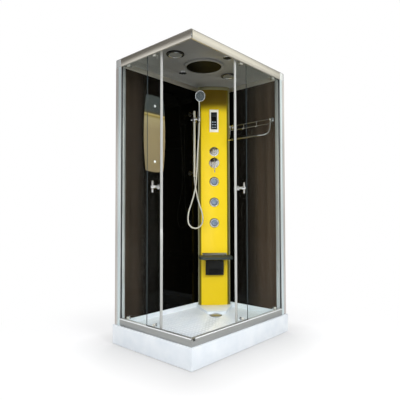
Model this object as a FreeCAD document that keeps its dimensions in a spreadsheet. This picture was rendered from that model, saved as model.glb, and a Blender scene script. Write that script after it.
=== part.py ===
import FreeCAD, Part
import math
import os
import re

import Sketcher

# Steam shower cabin with a corner entry. All sizes are in millimetres.
# Origin: centre of the tray's footprint, on the floor. +Z is up. The long glass front faces -Y, the short
# glass side faces -X, and the column stands across the rear corner at +X +Y.

doc = FreeCAD.newDocument("steam_shower_cabin")
sheet = doc.addObject("Spreadsheet::Sheet", "sizes")

SIZES = {
    # tray
    "tray_length": 1200,
    "tray_width": 850,
    "tray_height": 150,
    "tray_wall": 5,
    "skirt_gap": 4,
    "basin_floor": 130,
    "basin_skin": 6,
    "basin_margin": 66,
    "upstand_height": 20,
    "upstand_width": 30,
    "step_front_width": 170,
    "step_reach": 271,
    # under-frame, feet and drain
    "beam_size": 25,
    "beam_inset": 60,
    "foot_radius": 24,
    "foot_pad": 12,
    "foot_rod_radius": 6,
    "drain_x": 216,
    "drain_y": 62,
    "drain_hole": 40,
    "drain_flange": 54,
    "drain_lip": 2,
    "trap_radius": 44,
    "trap_height": 62,
    "outlet_radius": 20,
    "outlet_length": 50,
    "outlet_skin": 2,
    # frame of rails and posts
    "frame_inset": 14,
    "wall_inset": 22,
    "post_inset": 10,
    "rail_depth": 34,
    "bottom_rail_height": 51,
    "top_rail_height": 61,
    "frame_top": 2230,
    "rail_skin": 2,
    "groove_start": 8.5,
    "groove_end": 15.5,
    "groove_depth": 15,
    "fin_start": 24,
    "fin_end": 26,
    "fin_height": 4,
    "fin_recess": 13,
    "post_face": 62,
    "post_flange": 20,
    "post_return": 46,
    "post_skin": 2,
    "cleat_leg": 60,
    "cleat_play": 0.3,
    # glass
    "glass": 6,
    "seat_in_groove": 1,
    "wall_rail_height": 40,
    "wall_rail_back": 3,
    "wall_rail_lip": 5,
    "wall_lap": 25,
    "wall_rail_lap": 15,
    "fixed_front_edge": 45,
    "fixed_side_edge": 46,
    # sliding doors
    "door_plane": 38,
    "door_foot": 165,
    "door_head": 2195,
    "front_door_lead": -69,
    "side_door_lead": -85,
    "door_cover": 1,
    "strip_width": 19,
    "strip_side": 2,
    "strip_cover": 4,
    "wheel_inset": 70,
    "wheel_radius": 11,
    "wheel_tread": 9.5,
    "wheel_width": 8,
    "tread_width": 3,
    "running_gap": 0.3,
    "axle_radius": 3,
    "bore_play": 0.05,
    "bush_radius": 6.5,
    "glass_hole_play": 0.5,
    "cap_radius": 12,
    "cap_length": 7,
    "collar_radius": 9,
    "collar_length": 5,
    "axle_head": 5,
    "axle_head_length": 2,
    "shoe_length": 30,
    # door handles
    "handle_height": 1203,
    "handle_inset": 38,
    "handle_reach": 56,
    "handle_inner_reach": 24,
    "handle_stem": 13,
    "handle_bar": 6,
    "handle_length": 84,
    "handle_rose": 17,
    "handle_rose_length": 4,
    "handle_bolt": 6,
    # roof
    "roof_skin": 4,
    "roof_rise": 20,
    "roof_border": 46,
    "roof_slope": 30,
    "roof_corner_foot": 22,
    "roof_corner_top": 150,
    "disc_radius": 147,
    "disc_ring": 17,
    "disc_drop": 18,
    "disc_thickness": 4,
    "light_offset": 334,
    "light_radius": 70,
    "light_lens": 53,
    "light_can": 58,
    "light_drop": 9,
    "light_height": 34,
    "grille_offset": 250,
    "grille_radius": 36,
    "grille_drop": 5,
    "grille_can": 33,
    "grille_wall": 2,
    "fan_height": 38,
    "fan_blade": 27,
    "fan_hub": 10,
    "fan_shaft": 2.5,
    "fan_motor": 12,
    # column
    "column_setback": 176,
    "column_half": 152,
    "column_top": 2200,
    "panel_half": 140,
    "panel_flat_half": 122,
    "panel_edge_bulge": 17,
    "panel_bulge": 30,
    "panel_skin": 3,
    "trim_width": 10,
    "trim_depth": 20,
    "rib_depth": 14,
    "rib_height": 20,
    "item_gap": 0.4,
    # control panel
    "bezel_width": 86,
    "bezel_height": 216,
    "bezel_depth": 6,
    "bezel_centre": 1898,
    "display_width": 58,
    "display_height": 164,
    "display_depth": 4,
    "key_width": 15,
    "key_height": 11,
    "key_row": 25.5,
    "key_column": 24,
    "key_lowest": 1835,
    "key_depth": 4.4,
    "key_proud": 1.8,
    # valves
    "diverter_rise": 108,
    "diverter_rose": 45,
    "diverter_grip": 27,
    "diverter_grip_length": 26,
    "mixer_centre": 1494,
    "rose_thickness": 8,
    "mixer_rose": 48,
    "mixer_neck": 24,
    "mixer_neck_length": 22,
    "lever_width": 9,
    "lever_up": 48,
    "lever_down": 96,
    "lever_thickness": 11,
    "lever_gap": 9,
    "lever_pin": 3,
    "spindle_radius": 8,
    "spindle_hole": 14,
    "block_width": 100,
    "block_depth": 44,
    "block_back": 58,
    "inlet_radius": 10.4775,
    "inlet_length": 16,
    "inlet_bore": 7,
    "block_skin": 8,
    "inlet_spacing": 64,
    "pipe_radius": 7,
    "branch_radius": 5.5,
    # body jets
    "jet_lowest": 924,
    "jet_pitch": 196,
    "jet_ring": 46,
    "jet_cup": 36,
    "jet_bore": 33.6,
    "jet_ball": 33,
    "jet_lip": 29.6,
    "jet_ring_depth": 10,
    "jet_cup_depth": 28,
    "jet_ball_centre": 23,
    "jet_ball_front": 46,
    "jet_ball_back": 9,
    "jet_pivot": 2,
    # seat and steam outlet
    "seat_width": 304,
    "seat_front": 255,
    "seat_back": 64,
    "seat_rise": 6,
    "seat_thickness": 22,
    "seat_corner": 38,
    "hinge_axis_out": 50,
    "hinge_axis_height": 616,
    "hinge_pin": 5,
    "hinge_width": 230,
    "hinge_plate": 6,
    "hinge_ear": 8,
    "hinge_below": 32,
    "hinge_above": 24,
    "hinge_knuckle": 9,
    "arm_width": 12,
    "outlet_width": 168,
    "outlet_below": 43,
    "outlet_height": 136,
    "outlet_depth": 40,
    "slot_height": 3,
    "slot_pitch": 10,
    "slot_count": 5,
    "slot_width": 110,
    # steam generator
    "boiler_width": 150,
    "boiler_depth": 60,
    "boiler_neck": 15,
    "boiler_skin": 2,
    "boiler_foot": 190,
    "boiler_gap": 24,
    "steam_pipe": 8,
    # riser rail, slider and hand shower
    "riser_x": 248,
    "riser_standoff": 61,
    "riser_radius": 11,
    "riser_foot": 1377,
    "riser_length": 588,
    "bracket_radius": 9,
    "bracket_rose": 22,
    "bracket_rose_length": 7,
    "bracket_inset": 15,
    "hose_nut": 11,
    "hose_nut_length": 22,
    "slider_radius": 19,
    "slider_height": 46,
    "slider_centre": 1888,
    "slider_play": 0.06,
    "slider_knob": 9,
    "slider_knob_length": 15,
    "cradle_reach": 42,
    "cradle_forward": 36,
    "cradle_arm": 8,
    "cradle_boss": 9,
    "cradle_pin": 6,
    "cradle_radius": 17.5,
    "cradle_height": 30,
    "handle_grip": 12,
    "grip_length": 196,
    "head_radius": 50,
    "head_depth": 20,
    "head_tilt": 18,
    "head_rise": 215,
    "head_turn": 20,
    "head_forward": 12,
    # mirror
    "mirror_x": -205,
    "mirror_centre": 1697,
    "mirror_height": 640,
    "mirror_end_half": 98,
    "mirror_middle_half": 120,
    "mirror_end_rise": 10,
    "mirror_thickness": 5,
    "mirror_standoff": 15,
    "stud_spacing": 480,
    "stud_radius": 9,
    "stud_shank": 5,
    "stud_head": 11,
    "stud_head_length": 5,
    # towel rack
    "rack_post_gap": 31,
    "rack_column_gap": 25,
    "rack_height": 1843,
    "rack_rose": 20,
    "rack_rose_length": 6,
    "rack_post": 9,
    "rack_post_length": 34,
    "rack_bar": 6,
    "rack_reach": 118,
    "rack_drop": 146,
    "rack_bend": 58,
    "rack_root": 4,
    "rack_shoulder": 18,
    "rack_elbow": 22,
    "rack_elbow_rise": 26,
    "rack_splay": 6,
    "rack_rod": 3,
    "rack_rod_drop": 38,
    "hook_ball": 7,
    "hook_drop": 46,
    "hook_reach": 14,
    # hose
    "hose_diameter": 14,
}

for row, (name, value) in enumerate(SIZES.items(), start=1):
    sheet.set(f"A{row}", name)
    sheet.set(f"B{row}", str(value))
    sheet.setAlias(f"B{row}", name)
doc.recompute()


def size(name):
    """The value of one size, read back from the sheet."""
    return float(sheet.get(name))


# Places that several pieces share, as expressions of the sizes above.
FRONT = "(frame_inset - tray_width / 2)"
SIDE = "(frame_inset - tray_length / 2)"
REAR_WALL = "(tray_width / 2 - wall_inset)"
END_WALL = "(tray_length / 2 - wall_inset)"
REAR_OUT = "(tray_width / 2 - post_inset)"
END_OUT = "(tray_length / 2 - post_inset)"
RAIL_TOP = "(tray_height + bottom_rail_height)"
HEAD_FOOT = "(frame_top - top_rail_height)"
WALL_FOOT = "(tray_height + upstand_height)"
WALL_HEAD = "(frame_top - wall_rail_height)"
PANE = "((groove_start + groove_end - glass) / 2)"
FIN = "((fin_start + fin_end) / 2)"
DOOR_FRONT = f"({FRONT} + door_plane)"
DOOR_SIDE = f"({SIDE} + door_plane)"
CEILING = "(frame_top + roof_rise)"
HALF_ROOT = "0.70710678118655"
FACE_X = f"({END_WALL} - column_setback * {HALF_ROOT})"
FACE_Y = f"({REAR_WALL} - column_setback * {HALF_ROOT})"
RAIL_TREAD = f"({RAIL_TOP} + fin_height)"
HEAD_TREAD = f"({HEAD_FOOT} + fin_recess - fin_height - 2)"
WHEEL_Z = f"({RAIL_TREAD} + wheel_tread + running_gap)"
ITEM = "(-panel_bulge - item_gap)"
DIVERTER = "(mixer_centre + diverter_rise)"
SEAT_TOP = "(hinge_axis_height + seat_rise)"
OUTLET_TOP = "(hinge_axis_height - outlet_below)"
RISER_Y = f"({REAR_WALL} - riser_standoff)"
HEAD_Z = "(slider_centre + head_rise)"
CRADLE_X = f"(riser_x + (cradle_reach - cradle_forward) * {HALF_ROOT})"
CRADLE_Y = f"({RISER_Y} - (cradle_reach + cradle_forward) * {HALF_ROOT})"
FRONT_DOOR = f"({END_OUT} - post_face + door_cover - front_door_lead)"
SIDE_DOOR = f"({REAR_OUT} - post_face + door_cover - side_door_lead)"

WORDS = sorted(SIZES, key=len, reverse=True)
WORD = re.compile(r"\b(" + "|".join(WORDS) + r")\b")
ACROSS_CORNER = FreeCAD.Rotation(FreeCAD.Vector(0, 0, 1), -45)
PLAIN = FreeCAD.Rotation()


def bound(text):
    """An expression with each size's name pointing at its cell."""
    return WORD.sub(r"sizes.\1", str(text))


def worked(text):
    """The number that such an expression gives."""
    return float(sheet_number(str(text)))


def sheet_number(text):
    probe.setExpression("Length", None)
    probe.setExpression("Placement.Base.x", bound(text))
    probe.recompute()
    return probe.Placement.Base.x


probe = doc.addObject("Part::Box", "measuring_point")
NODES = []


def place(thing, x="0", y="0", z="0", rotation=PLAIN):
    thing.Placement = FreeCAD.Placement(FreeCAD.Vector(0, 0, 0), rotation)
    thing.setExpression("Placement.Base.x", bound(x))
    thing.setExpression("Placement.Base.y", bound(y))
    thing.setExpression("Placement.Base.z", bound(z))
    return thing


def box(x, y, z, length, width, height, rotation=PLAIN):
    """A block from its lowest corner."""
    thing = doc.addObject("Part::Box", "block")
    thing.setExpression("Length", bound(length))
    thing.setExpression("Width", bound(width))
    thing.setExpression("Height", bound(height))
    return place(thing, x, y, z, rotation)


AXES = {
    "+X": FreeCAD.Rotation(FreeCAD.Vector(0, 1, 0), 90),
    "-X": FreeCAD.Rotation(FreeCAD.Vector(0, 1, 0), -90),
    "+Y": FreeCAD.Rotation(FreeCAD.Vector(1, 0, 0), -90),
    "-Y": FreeCAD.Rotation(FreeCAD.Vector(1, 0, 0), 90),
    "+Z": PLAIN,
    "-Z": FreeCAD.Rotation(FreeCAD.Vector(1, 0, 0), 180),
}


def rod(x, y, z, radius, length, axis="+Z"):
    """A round bar from the centre of its first end, along an axis."""
    thing = doc.addObject("Part::Cylinder", "round")
    thing.setExpression("Radius", bound(radius))
    thing.setExpression("Height", bound(length))
    return place(thing, x, y, z, AXES[axis])


def cone(x, y, z, first, second, length, axis="+Z"):
    thing = doc.addObject("Part::Cone", "taper")
    thing.setExpression("Radius1", bound(first))
    thing.setExpression("Radius2", bound(second))
    thing.setExpression("Height", bound(length))
    return place(thing, x, y, z, AXES[axis])


def ball(x, y, z, radius):
    thing = doc.addObject("Part::Sphere", "ball")
    thing.setExpression("Radius", bound(radius))
    return place(thing, x, y, z)


def cut(base, *tools):
    """The base without the tools."""
    thing = doc.addObject("Part::Cut", "cut")
    thing.Base = base
    thing.Tool = tools[0] if len(tools) == 1 else fuse(*tools)
    return thing


def fuse(*parts):
    if len(parts) == 1:
        return parts[0]
    thing = doc.addObject("Part::MultiFuse", "joined")
    thing.Shapes = list(parts)
    thing.Refine = True
    return thing


def common(base, tool):
    thing = doc.addObject("Part::Common", "shared")
    thing.Base = base
    thing.Tool = tool
    return thing


def group(*parts):
    """Several separate solids that share a node."""
    thing = doc.addObject("Part::Compound", "group")
    thing.Links = list(parts)
    return thing


def node(label, thing):
    thing.Label = label
    NODES.append(thing)
    return thing


def on_column(label, thing):
    """A piece made in the column's own frame: X along its face, Y into the corner."""
    place(thing, FACE_X, FACE_Y, "0", ACROSS_CORNER)
    return node(label, thing)


def profile(outline, length, rotation=PLAIN, x="0", y="0", z="0"):
    """A straight section: an outline of bound corners, padded along its own Z."""
    body = doc.addObject("PartDesign::Body", "section")
    sketch = body.newObject("Sketcher::SketchObject", "outline")
    plane = [f for f in body.Origin.OriginFeatures if f.Role == "XY_Plane"][0]
    sketch.AttachmentSupport = (plane, [""])
    sketch.MapMode = "FlatFace"
    corners = [(worked(a), worked(b)) for a, b in outline]
    count = len(outline)
    for start in range(count):
        first = FreeCAD.Vector(*corners[start], 0)
        last = FreeCAD.Vector(*corners[(start + 1) % count], 0)
        sketch.addGeometry(Part.LineSegment(first, last), False)
    for start in range(count):
        sketch.addConstraint(Sketcher.Constraint("Coincident", start, 2, (start + 1) % count, 1))
    for start in range(count):
        for index, kind in enumerate(("DistanceX", "DistanceY")):
            constraint = Sketcher.Constraint(kind, -1, 1, start, 1, corners[start][index])
            number = sketch.addConstraint(constraint)
            sketch.setExpression(f"Constraints[{number}]", bound(outline[start][index]))
    pad = body.newObject("PartDesign::Pad", "pad")
    pad.Profile = sketch
    pad.setExpression("Length", bound(length))
    return place(body, x, y, z, rotation)


def shape_node(label, shape, placement=None):
    """A piece whose form needs arcs or sweeps, set from the sizes in the code above it."""
    thing = doc.addObject("Part::Feature", label)
    thing.Shape = shape
    if placement is not None:
        thing.Placement = placement
    return node(label, thing)


# ---------------------------------------------------------------- tray

def make_tray():
    skirt_top = "tray_height"
    block = box("-tray_length / 2", "-tray_width / 2", "skirt_gap",
                "tray_length", "tray_width", f"{skirt_top} - skirt_gap")
    under = box("tray_wall - tray_length / 2", "tray_wall - tray_width / 2", "skirt_gap - 1",
                "tray_length", "tray_width", "basin_floor - basin_skin - skirt_gap + 1")
    rear_upstand = box("-tray_length / 2", "tray_width / 2 - upstand_width", "tray_height - 1",
                       "tray_length", "upstand_width", "upstand_height + 1")
    end_upstand = box("tray_length / 2 - upstand_width", "-tray_width / 2", "tray_height - 1",
                      "upstand_width", "tray_width", "upstand_height + 1")
    # the upstands end where the posts stand
    side_relief = box("-tray_length / 2 - 1", "tray_width / 2 - upstand_width - 1", "tray_height",
                      f"1 + frame_inset + post_flange + post_return + rail_depth",
                      "upstand_width + 2", "upstand_height + 1")
    front_relief = box("tray_length / 2 - upstand_width - 1", "-tray_width / 2 - 1", "tray_height",
                       "upstand_width + 2", "1 + frame_inset + rail_depth + post_return",
                       "upstand_height + 1")
    basin = box("basin_margin - tray_length / 2", "basin_margin - tray_width / 2", "basin_floor",
                "tray_length - basin_margin - upstand_width", "tray_width - basin_margin - upstand_width",
                "tray_height")
    # the raised step in front of the column narrows towards the room
    step = profile(
        [("-column_half - 60", "column_setback"), ("-column_half - 18", "0"),
         ("-step_front_width / 2", "-step_reach"), ("step_front_width / 2", "-step_reach"),
         ("column_half + 18", "0"), ("column_half + 60", "column_setback")],
        "tray_height + 1 - basin_floor + basin_skin", ACROSS_CORNER,
        FACE_X, FACE_Y, "basin_floor - basin_skin")
    step_room = box("-tray_length / 2", "-tray_width / 2", "basin_floor - basin_skin",
                    "tray_length", "tray_width", "tray_height - basin_floor + basin_skin")
    hole = rod("drain_x", "drain_y", "0", "drain_hole", "tray_height * 2")
    recess = rod("drain_x", "drain_y", "basin_floor - drain_lip", "drain_flange + 1", "tray_height")
    # the column stands on the deck, between the ends of the upstands
    column_relief = box(f"{FACE_X} - (column_half + 7) * {HALF_ROOT}",
                        f"{FACE_Y} + (column_half - 5) * {HALF_ROOT}",
                        "tray_height", "2 * column_half + 2", "column_setback * 2", "upstand_height + 1",
                        ACROSS_CORNER)
    shell = cut(fuse(block, rear_upstand, end_upstand), side_relief, front_relief, column_relief, basin,
                under)
    node("shower_tray", cut(fuse(shell, common(step, step_room)), hole, recess))


def make_tray_frame():
    """Square steel beams under the tray, each a separate bar, and the threaded feet that carry them."""
    top = "(basin_floor - basin_skin)"
    low = f"({top} - beam_size)"
    lengthwise = []
    for side in (-1, 1):
        y = f"({side} * (tray_width / 2 - beam_inset) - beam_size / 2)"
        lengthwise.append(box("beam_inset / 2 - tray_length / 2", y, low,
                              "tray_length - beam_inset", "beam_size", "beam_size"))
    cross = []
    for part_way in (-1, 0, 1):
        x = f"({part_way} * (tray_length / 2 - beam_inset) - beam_size / 2)"
        cross.append(box(x, "beam_inset + beam_size / 2 - tray_width / 2", low, "beam_size",
                         "tray_width - 2 * beam_inset - beam_size", "beam_size"))
    node("tray_frame", group(*lengthwise, *cross))
    feet = []
    for along in (-1, 0, 1):
        for across in (-1, 1):
            x = f"{along} * (tray_length / 2 - beam_inset)"
            y = f"{across} * (tray_width / 2 - beam_inset)"
            pad = rod(x, y, "0", "foot_radius", "foot_pad")
            stem = rod(x, y, "foot_pad", "foot_rod_radius", f"{low} - foot_pad")
            nut = rod(x, y, f"{low} - 10", "foot_rod_radius * 1.9", "10")
            feet.append(fuse(pad, stem, nut))
    node("levelling_feet", group(*feet))


def make_drain():
    under = "(basin_floor - drain_lip)"
    flange = rod("drain_x", "drain_y", under, "drain_flange", "drain_lip")
    throat = rod("drain_x", "drain_y", f"{under} - trap_height", "drain_hole - item_gap",
                 "trap_height + drain_lip")
    low = f"({under} - basin_skin - trap_height)"
    cup = rod("drain_x", "drain_y", low, "trap_radius", "trap_height")
    hollow = rod("drain_x", "drain_y", f"{low} + 3", "drain_hole - 4", "trap_height * 2")
    outlet = rod("drain_x", "drain_y", f"{low} - outlet_length", "outlet_radius", "outlet_length + 1")
    bore = rod("drain_x", "drain_y", f"{low} - outlet_length - 1", "outlet_radius - outlet_skin",
               "outlet_length + trap_height / 2")
    node("drain_trap", cut(fuse(flange, throat, cup, outlet), hollow, bore))
    cover = rod("drain_x", "drain_y", "basin_floor", "drain_flange - 6", "3")
    stalk = rod("drain_x", "drain_y", f"{under} - 18", "drain_hole - 4.5", "18 + drain_lip")
    inner = rod("drain_x", "drain_y", f"{under} - 19", "drain_hole - 7", "19 + drain_lip")
    slots = []
    for turn in range(6):
        angle = turn * 60
        reach = "(drain_hole - 16)"
        x = f"drain_x + {reach} * {math.cos(math.radians(angle)):.6f}"
        y = f"drain_y + {reach} * {math.sin(math.radians(angle)):.6f}"
        slots.append(rod(x, y, "basin_floor - 1", "4", "6"))
    node("drain_cover", cut(fuse(cover, cut(stalk, inner)), *slots))


# ---------------------------------------------------------------- frame

ALONG_X = FreeCAD.Rotation(FreeCAD.Vector(0, 1, 0), FreeCAD.Vector(0, 0, 1), FreeCAD.Vector(1, 0, 0), "ZXY")
ALONG_Y = FreeCAD.Rotation(FreeCAD.Vector(1, 0, 0), FreeCAD.Vector(0, 0, 1), FreeCAD.Vector(0, -1, 0), "ZXY")
FRONT_END = f"({END_OUT} - post_face)"
SIDE_END = f"({REAR_OUT} - post_face)"


def bottom_outline():
    """Depth inwards from the outer face, then height. One groove for the fixed pane, one fin for wheels."""
    top = "bottom_rail_height"
    groove = f"({top} - groove_depth)"
    return [("0", "0"), ("rail_depth", "0"), ("rail_depth", top), ("fin_end", top),
            ("fin_end", f"{top} + fin_height"), ("fin_start", f"{top} + fin_height"), ("fin_start", top),
            ("groove_end", top), ("groove_end", groove), ("groove_start", groove), ("groove_start", top),
            ("0", top)]


def top_outline():
    top = "top_rail_height"
    foot = "fin_recess"
    fin = "(fin_recess - fin_height - 2)"
    groove = "(fin_recess + groove_depth + 2)"
    return [("0", "0"), ("groove_start - 1.5", "0"), ("groove_start - 1.5", foot), ("groove_start", foot),
            ("groove_start", groove), ("groove_end", groove), ("groove_end", foot), ("fin_start", foot),
            ("fin_start", fin), ("fin_end", fin), ("fin_end", foot), ("rail_depth", foot),
            ("rail_depth", top), ("0", top)]


def rail_pair(label, outline, foot, chamber_foot, chamber_height):
    """The front and side rails meet on a mitre at the entry corner."""
    front_length = f"({FRONT_END} - {SIDE})"
    side_length = f"({SIDE_END} - {FRONT})"
    rails = []
    for along, length, x, y, mitre_shift in (
            (ALONG_X, front_length, SIDE, FRONT, "0"), (ALONG_Y, side_length, SIDE, SIDE_END, "-1")):
        rail = profile(outline, length, along, x, y, foot)
        chamber = profile(
            [("rail_skin", chamber_foot), ("rail_depth - rail_skin", chamber_foot),
             ("rail_depth - rail_skin", f"{chamber_foot} + {chamber_height}"),
             ("rail_skin", f"{chamber_foot} + {chamber_height}")],
            f"{length} + 2", along,
            f"{x} - 1" if along is ALONG_X else x, y if along is ALONG_X else f"{y} + 1", foot)
        reach = "(rail_depth * 2)"
        turned = FreeCAD.Rotation(FreeCAD.Vector(0, 0, 1), 45)
        back = f"{reach} * {HALF_ROOT}"
        mitre = box(f"{SIDE} - {back} - {mitre_shift} * {back}", f"{FRONT} - {back} + {mitre_shift} * {back}",
                    f"{foot} - 5", f"{reach} * 2", reach, "top_rail_height + 10", turned)
        rails.append(cut(rail, chamber, mitre))
    node(label, group(*rails))


def make_rails():
    rail_pair("bottom_rails", bottom_outline(), "tray_height", "rail_skin",
              "(bottom_rail_height - groove_depth - 2 * rail_skin)")
    rail_pair("top_rails", top_outline(), HEAD_FOOT, "(fin_recess + groove_depth + 2 + rail_skin)",
              "(top_rail_height - fin_recess - groove_depth - 2 - 2 * rail_skin)")


def make_cleats():
    """L-shaped cleats inside the rails' chambers join each mitre."""
    cleats = []
    low = "(tray_height + rail_skin + cleat_play)"
    high = f"({HEAD_FOOT} + fin_recess + groove_depth + 2 + rail_skin + cleat_play)"
    heights = ((low, "(bottom_rail_height - groove_depth - 2 * rail_skin - 2 * cleat_play)"),
               (high, "(top_rail_height - fin_recess - groove_depth - 2 - 2 * rail_skin - 2 * cleat_play)"))
    start = "(rail_skin + cleat_play)"
    end = "(rail_depth - rail_skin - cleat_play)"
    for foot, height in heights:
        cleats.append(profile(
            [(start, start), ("cleat_leg", start), ("cleat_leg", end), (end, end), (end, "cleat_leg"),
             (start, "cleat_leg")], height, PLAIN, SIDE, FRONT, foot))
    node("corner_cleats", group(*cleats))


def post_outline(a, b):
    """The post's section. a runs along the glass side from the outer corner, b runs inwards."""
    points = [("0", "0"), ("post_face", "0"),
              ("post_face", "groove_start"), ("post_face - groove_depth", "groove_start"),
              ("post_face - groove_depth", "groove_end"), ("post_face", "groove_end"),
              ("post_face", "rail_depth"), ("post_flange", "rail_depth"),
              ("post_flange", "rail_depth + post_return"),
              (f"{WALL_GROOVE_IN}", "rail_depth + post_return"),
              (f"{WALL_GROOVE_IN}", "rail_depth + post_return - groove_depth"),
              (f"{WALL_GROOVE_OUT}", "rail_depth + post_return - groove_depth"),
              (f"{WALL_GROOVE_OUT}", "rail_depth + post_return"), ("0", "rail_depth + post_return")]
    return [(a(p, q), b(p, q)) for p, q in points]


WALL_GROOVE_IN = "(wall_inset - post_inset + 0.5)"
WALL_GROOVE_OUT = "(wall_inset - post_inset - glass - 0.5)"


def make_posts():
    front = post_outline(lambda p, q: f"{END_OUT} - ({p})", lambda p, q: f"{FRONT} + ({q})")
    side = post_outline(lambda p, q: f"{SIDE} + ({q})", lambda p, q: f"{REAR_OUT} - ({p})")
    height = "(frame_top - tray_height)"
    # each post has a wide chamber behind its face and a narrow one in the leg that holds the wall panel
    foot = "(tray_height - 1)"
    through = f"{height} + 2"
    wide = "(post_face - groove_depth - 2 * post_skin)"
    deep = "(rail_depth - 2 * post_skin)"
    leg_wide = "(post_flange - 2 * post_skin)"
    leg_deep = "(post_return - groove_depth - post_skin)"
    front_chambers = (
        box(f"{END_OUT} - post_skin - {wide}", f"{FRONT} + post_skin", foot, wide, deep, through),
        box(f"{END_OUT} - post_skin - {leg_wide}", f"{FRONT} + rail_depth", foot, leg_wide, leg_deep,
            through))
    side_chambers = (
        box(f"{SIDE} + post_skin", f"{REAR_OUT} - post_skin - {wide}", foot, deep, wide, through),
        box(f"{SIDE} + rail_depth", f"{REAR_OUT} - post_skin - {leg_wide}", foot, leg_deep, leg_wide,
            through))
    posts = [cut(profile(outline, height, PLAIN, "0", "0", "tray_height"), *chambers)
             for outline, chambers in ((front, front_chambers), (side, side_chambers))]
    node("wall_posts", group(*posts))


def make_walls():
    """Rear panels run from the posts to behind the column's trims, and stand on the tray's upstand."""
    height = f"({WALL_HEAD} + wall_rail_lip * 3 - {WALL_FOOT})"
    reach = f"(column_half * {HALF_ROOT})"
    rear_start = f"({SIDE} + rail_depth + post_return - groove_depth + seat_in_groove)"
    rear_end = f"({FACE_X} - {reach} + wall_rail_lap)"
    rear_glass = f"{FACE_X} - {reach} + wall_lap - {rear_start}"
    node("rear_wall", box(rear_start, REAR_WALL, WALL_FOOT, rear_glass, "glass", height))
    end_start = f"({FRONT} + rail_depth + post_return - groove_depth + seat_in_groove)"
    end_stop = f"({FACE_Y} - {reach} + wall_rail_lap)"
    end_glass = f"{FACE_Y} - {reach} + wall_lap - {end_start}"
    node("end_wall", box(END_WALL, end_start, WALL_FOOT, "glass", end_glass, height))
    rails = []
    lip = "wall_rail_lip"
    deep = f"({lip} + glass + wall_rail_back)"
    rear_rail_start = f"({SIDE} + rail_depth + post_return)"
    rear = box(rear_rail_start, f"{REAR_WALL} - {lip}", WALL_HEAD, f"{rear_end} - {rear_rail_start}", deep,
               "wall_rail_height")
    rear_slot = box(f"{rear_start} - 5", REAR_WALL, f"{WALL_HEAD} - 1", f"{rear_end} - {rear_start} + 10",
                    "glass", "wall_rail_lip * 3 + 1")
    rails.append(cut(rear, rear_slot))
    end_rail_start = f"({FRONT} + rail_depth + post_return)"
    end = box(f"{END_WALL} - {lip}", end_rail_start, WALL_HEAD, deep, f"{end_stop} - {end_rail_start}",
              "wall_rail_height")
    end_slot = box(END_WALL, f"{end_start} - 5", f"{WALL_HEAD} - 1", "glass",
                   f"{end_stop} - {end_start} + 10", "wall_rail_lip * 3 + 1")
    rails.append(cut(end, end_slot))
    node("wall_top_rails", group(*rails))


def make_fixed_panes():
    foot = f"({RAIL_TOP} - groove_depth + seat_in_groove)"
    head = f"({HEAD_FOOT} + fin_recess + groove_depth)"
    front_end = f"({END_OUT} - post_face + groove_depth - seat_in_groove)"
    node("fixed_pane_front", box("fixed_front_edge", f"{FRONT} + {PANE}", foot,
                                 f"{front_end} - fixed_front_edge", "glass", f"{head} - {foot}"))
    side_end = f"({REAR_OUT} - post_face + groove_depth - seat_in_groove)"
    node("fixed_pane_side", box(f"{SIDE} + {PANE}", "fixed_side_edge", foot, "glass",
                                f"{side_end} - fixed_side_edge", f"{head} - {foot}"))


# ---------------------------------------------------------------- doors
# Each door is described by its distance along the glass from its leading edge (a) and its depth inwards
# from the rails' outer face (b).

def door_block(front, a, b, z, along, deep, height):
    if front:
        return box(f"front_door_lead + {a}", f"{FRONT} + {b}", z, along, deep, height)
    return box(f"{SIDE} + {b}", f"side_door_lead + {a}", z, deep, along, height)


def door_rod(front, a, b, z, radius, length):
    """A round bar that runs inwards through the door."""
    if front:
        return rod(f"front_door_lead + {a}", f"{FRONT} + {b}", z, radius, length, "+Y")
    return rod(f"{SIDE} + {b}", f"side_door_lead + {a}", z, radius, length, "+X")


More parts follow.
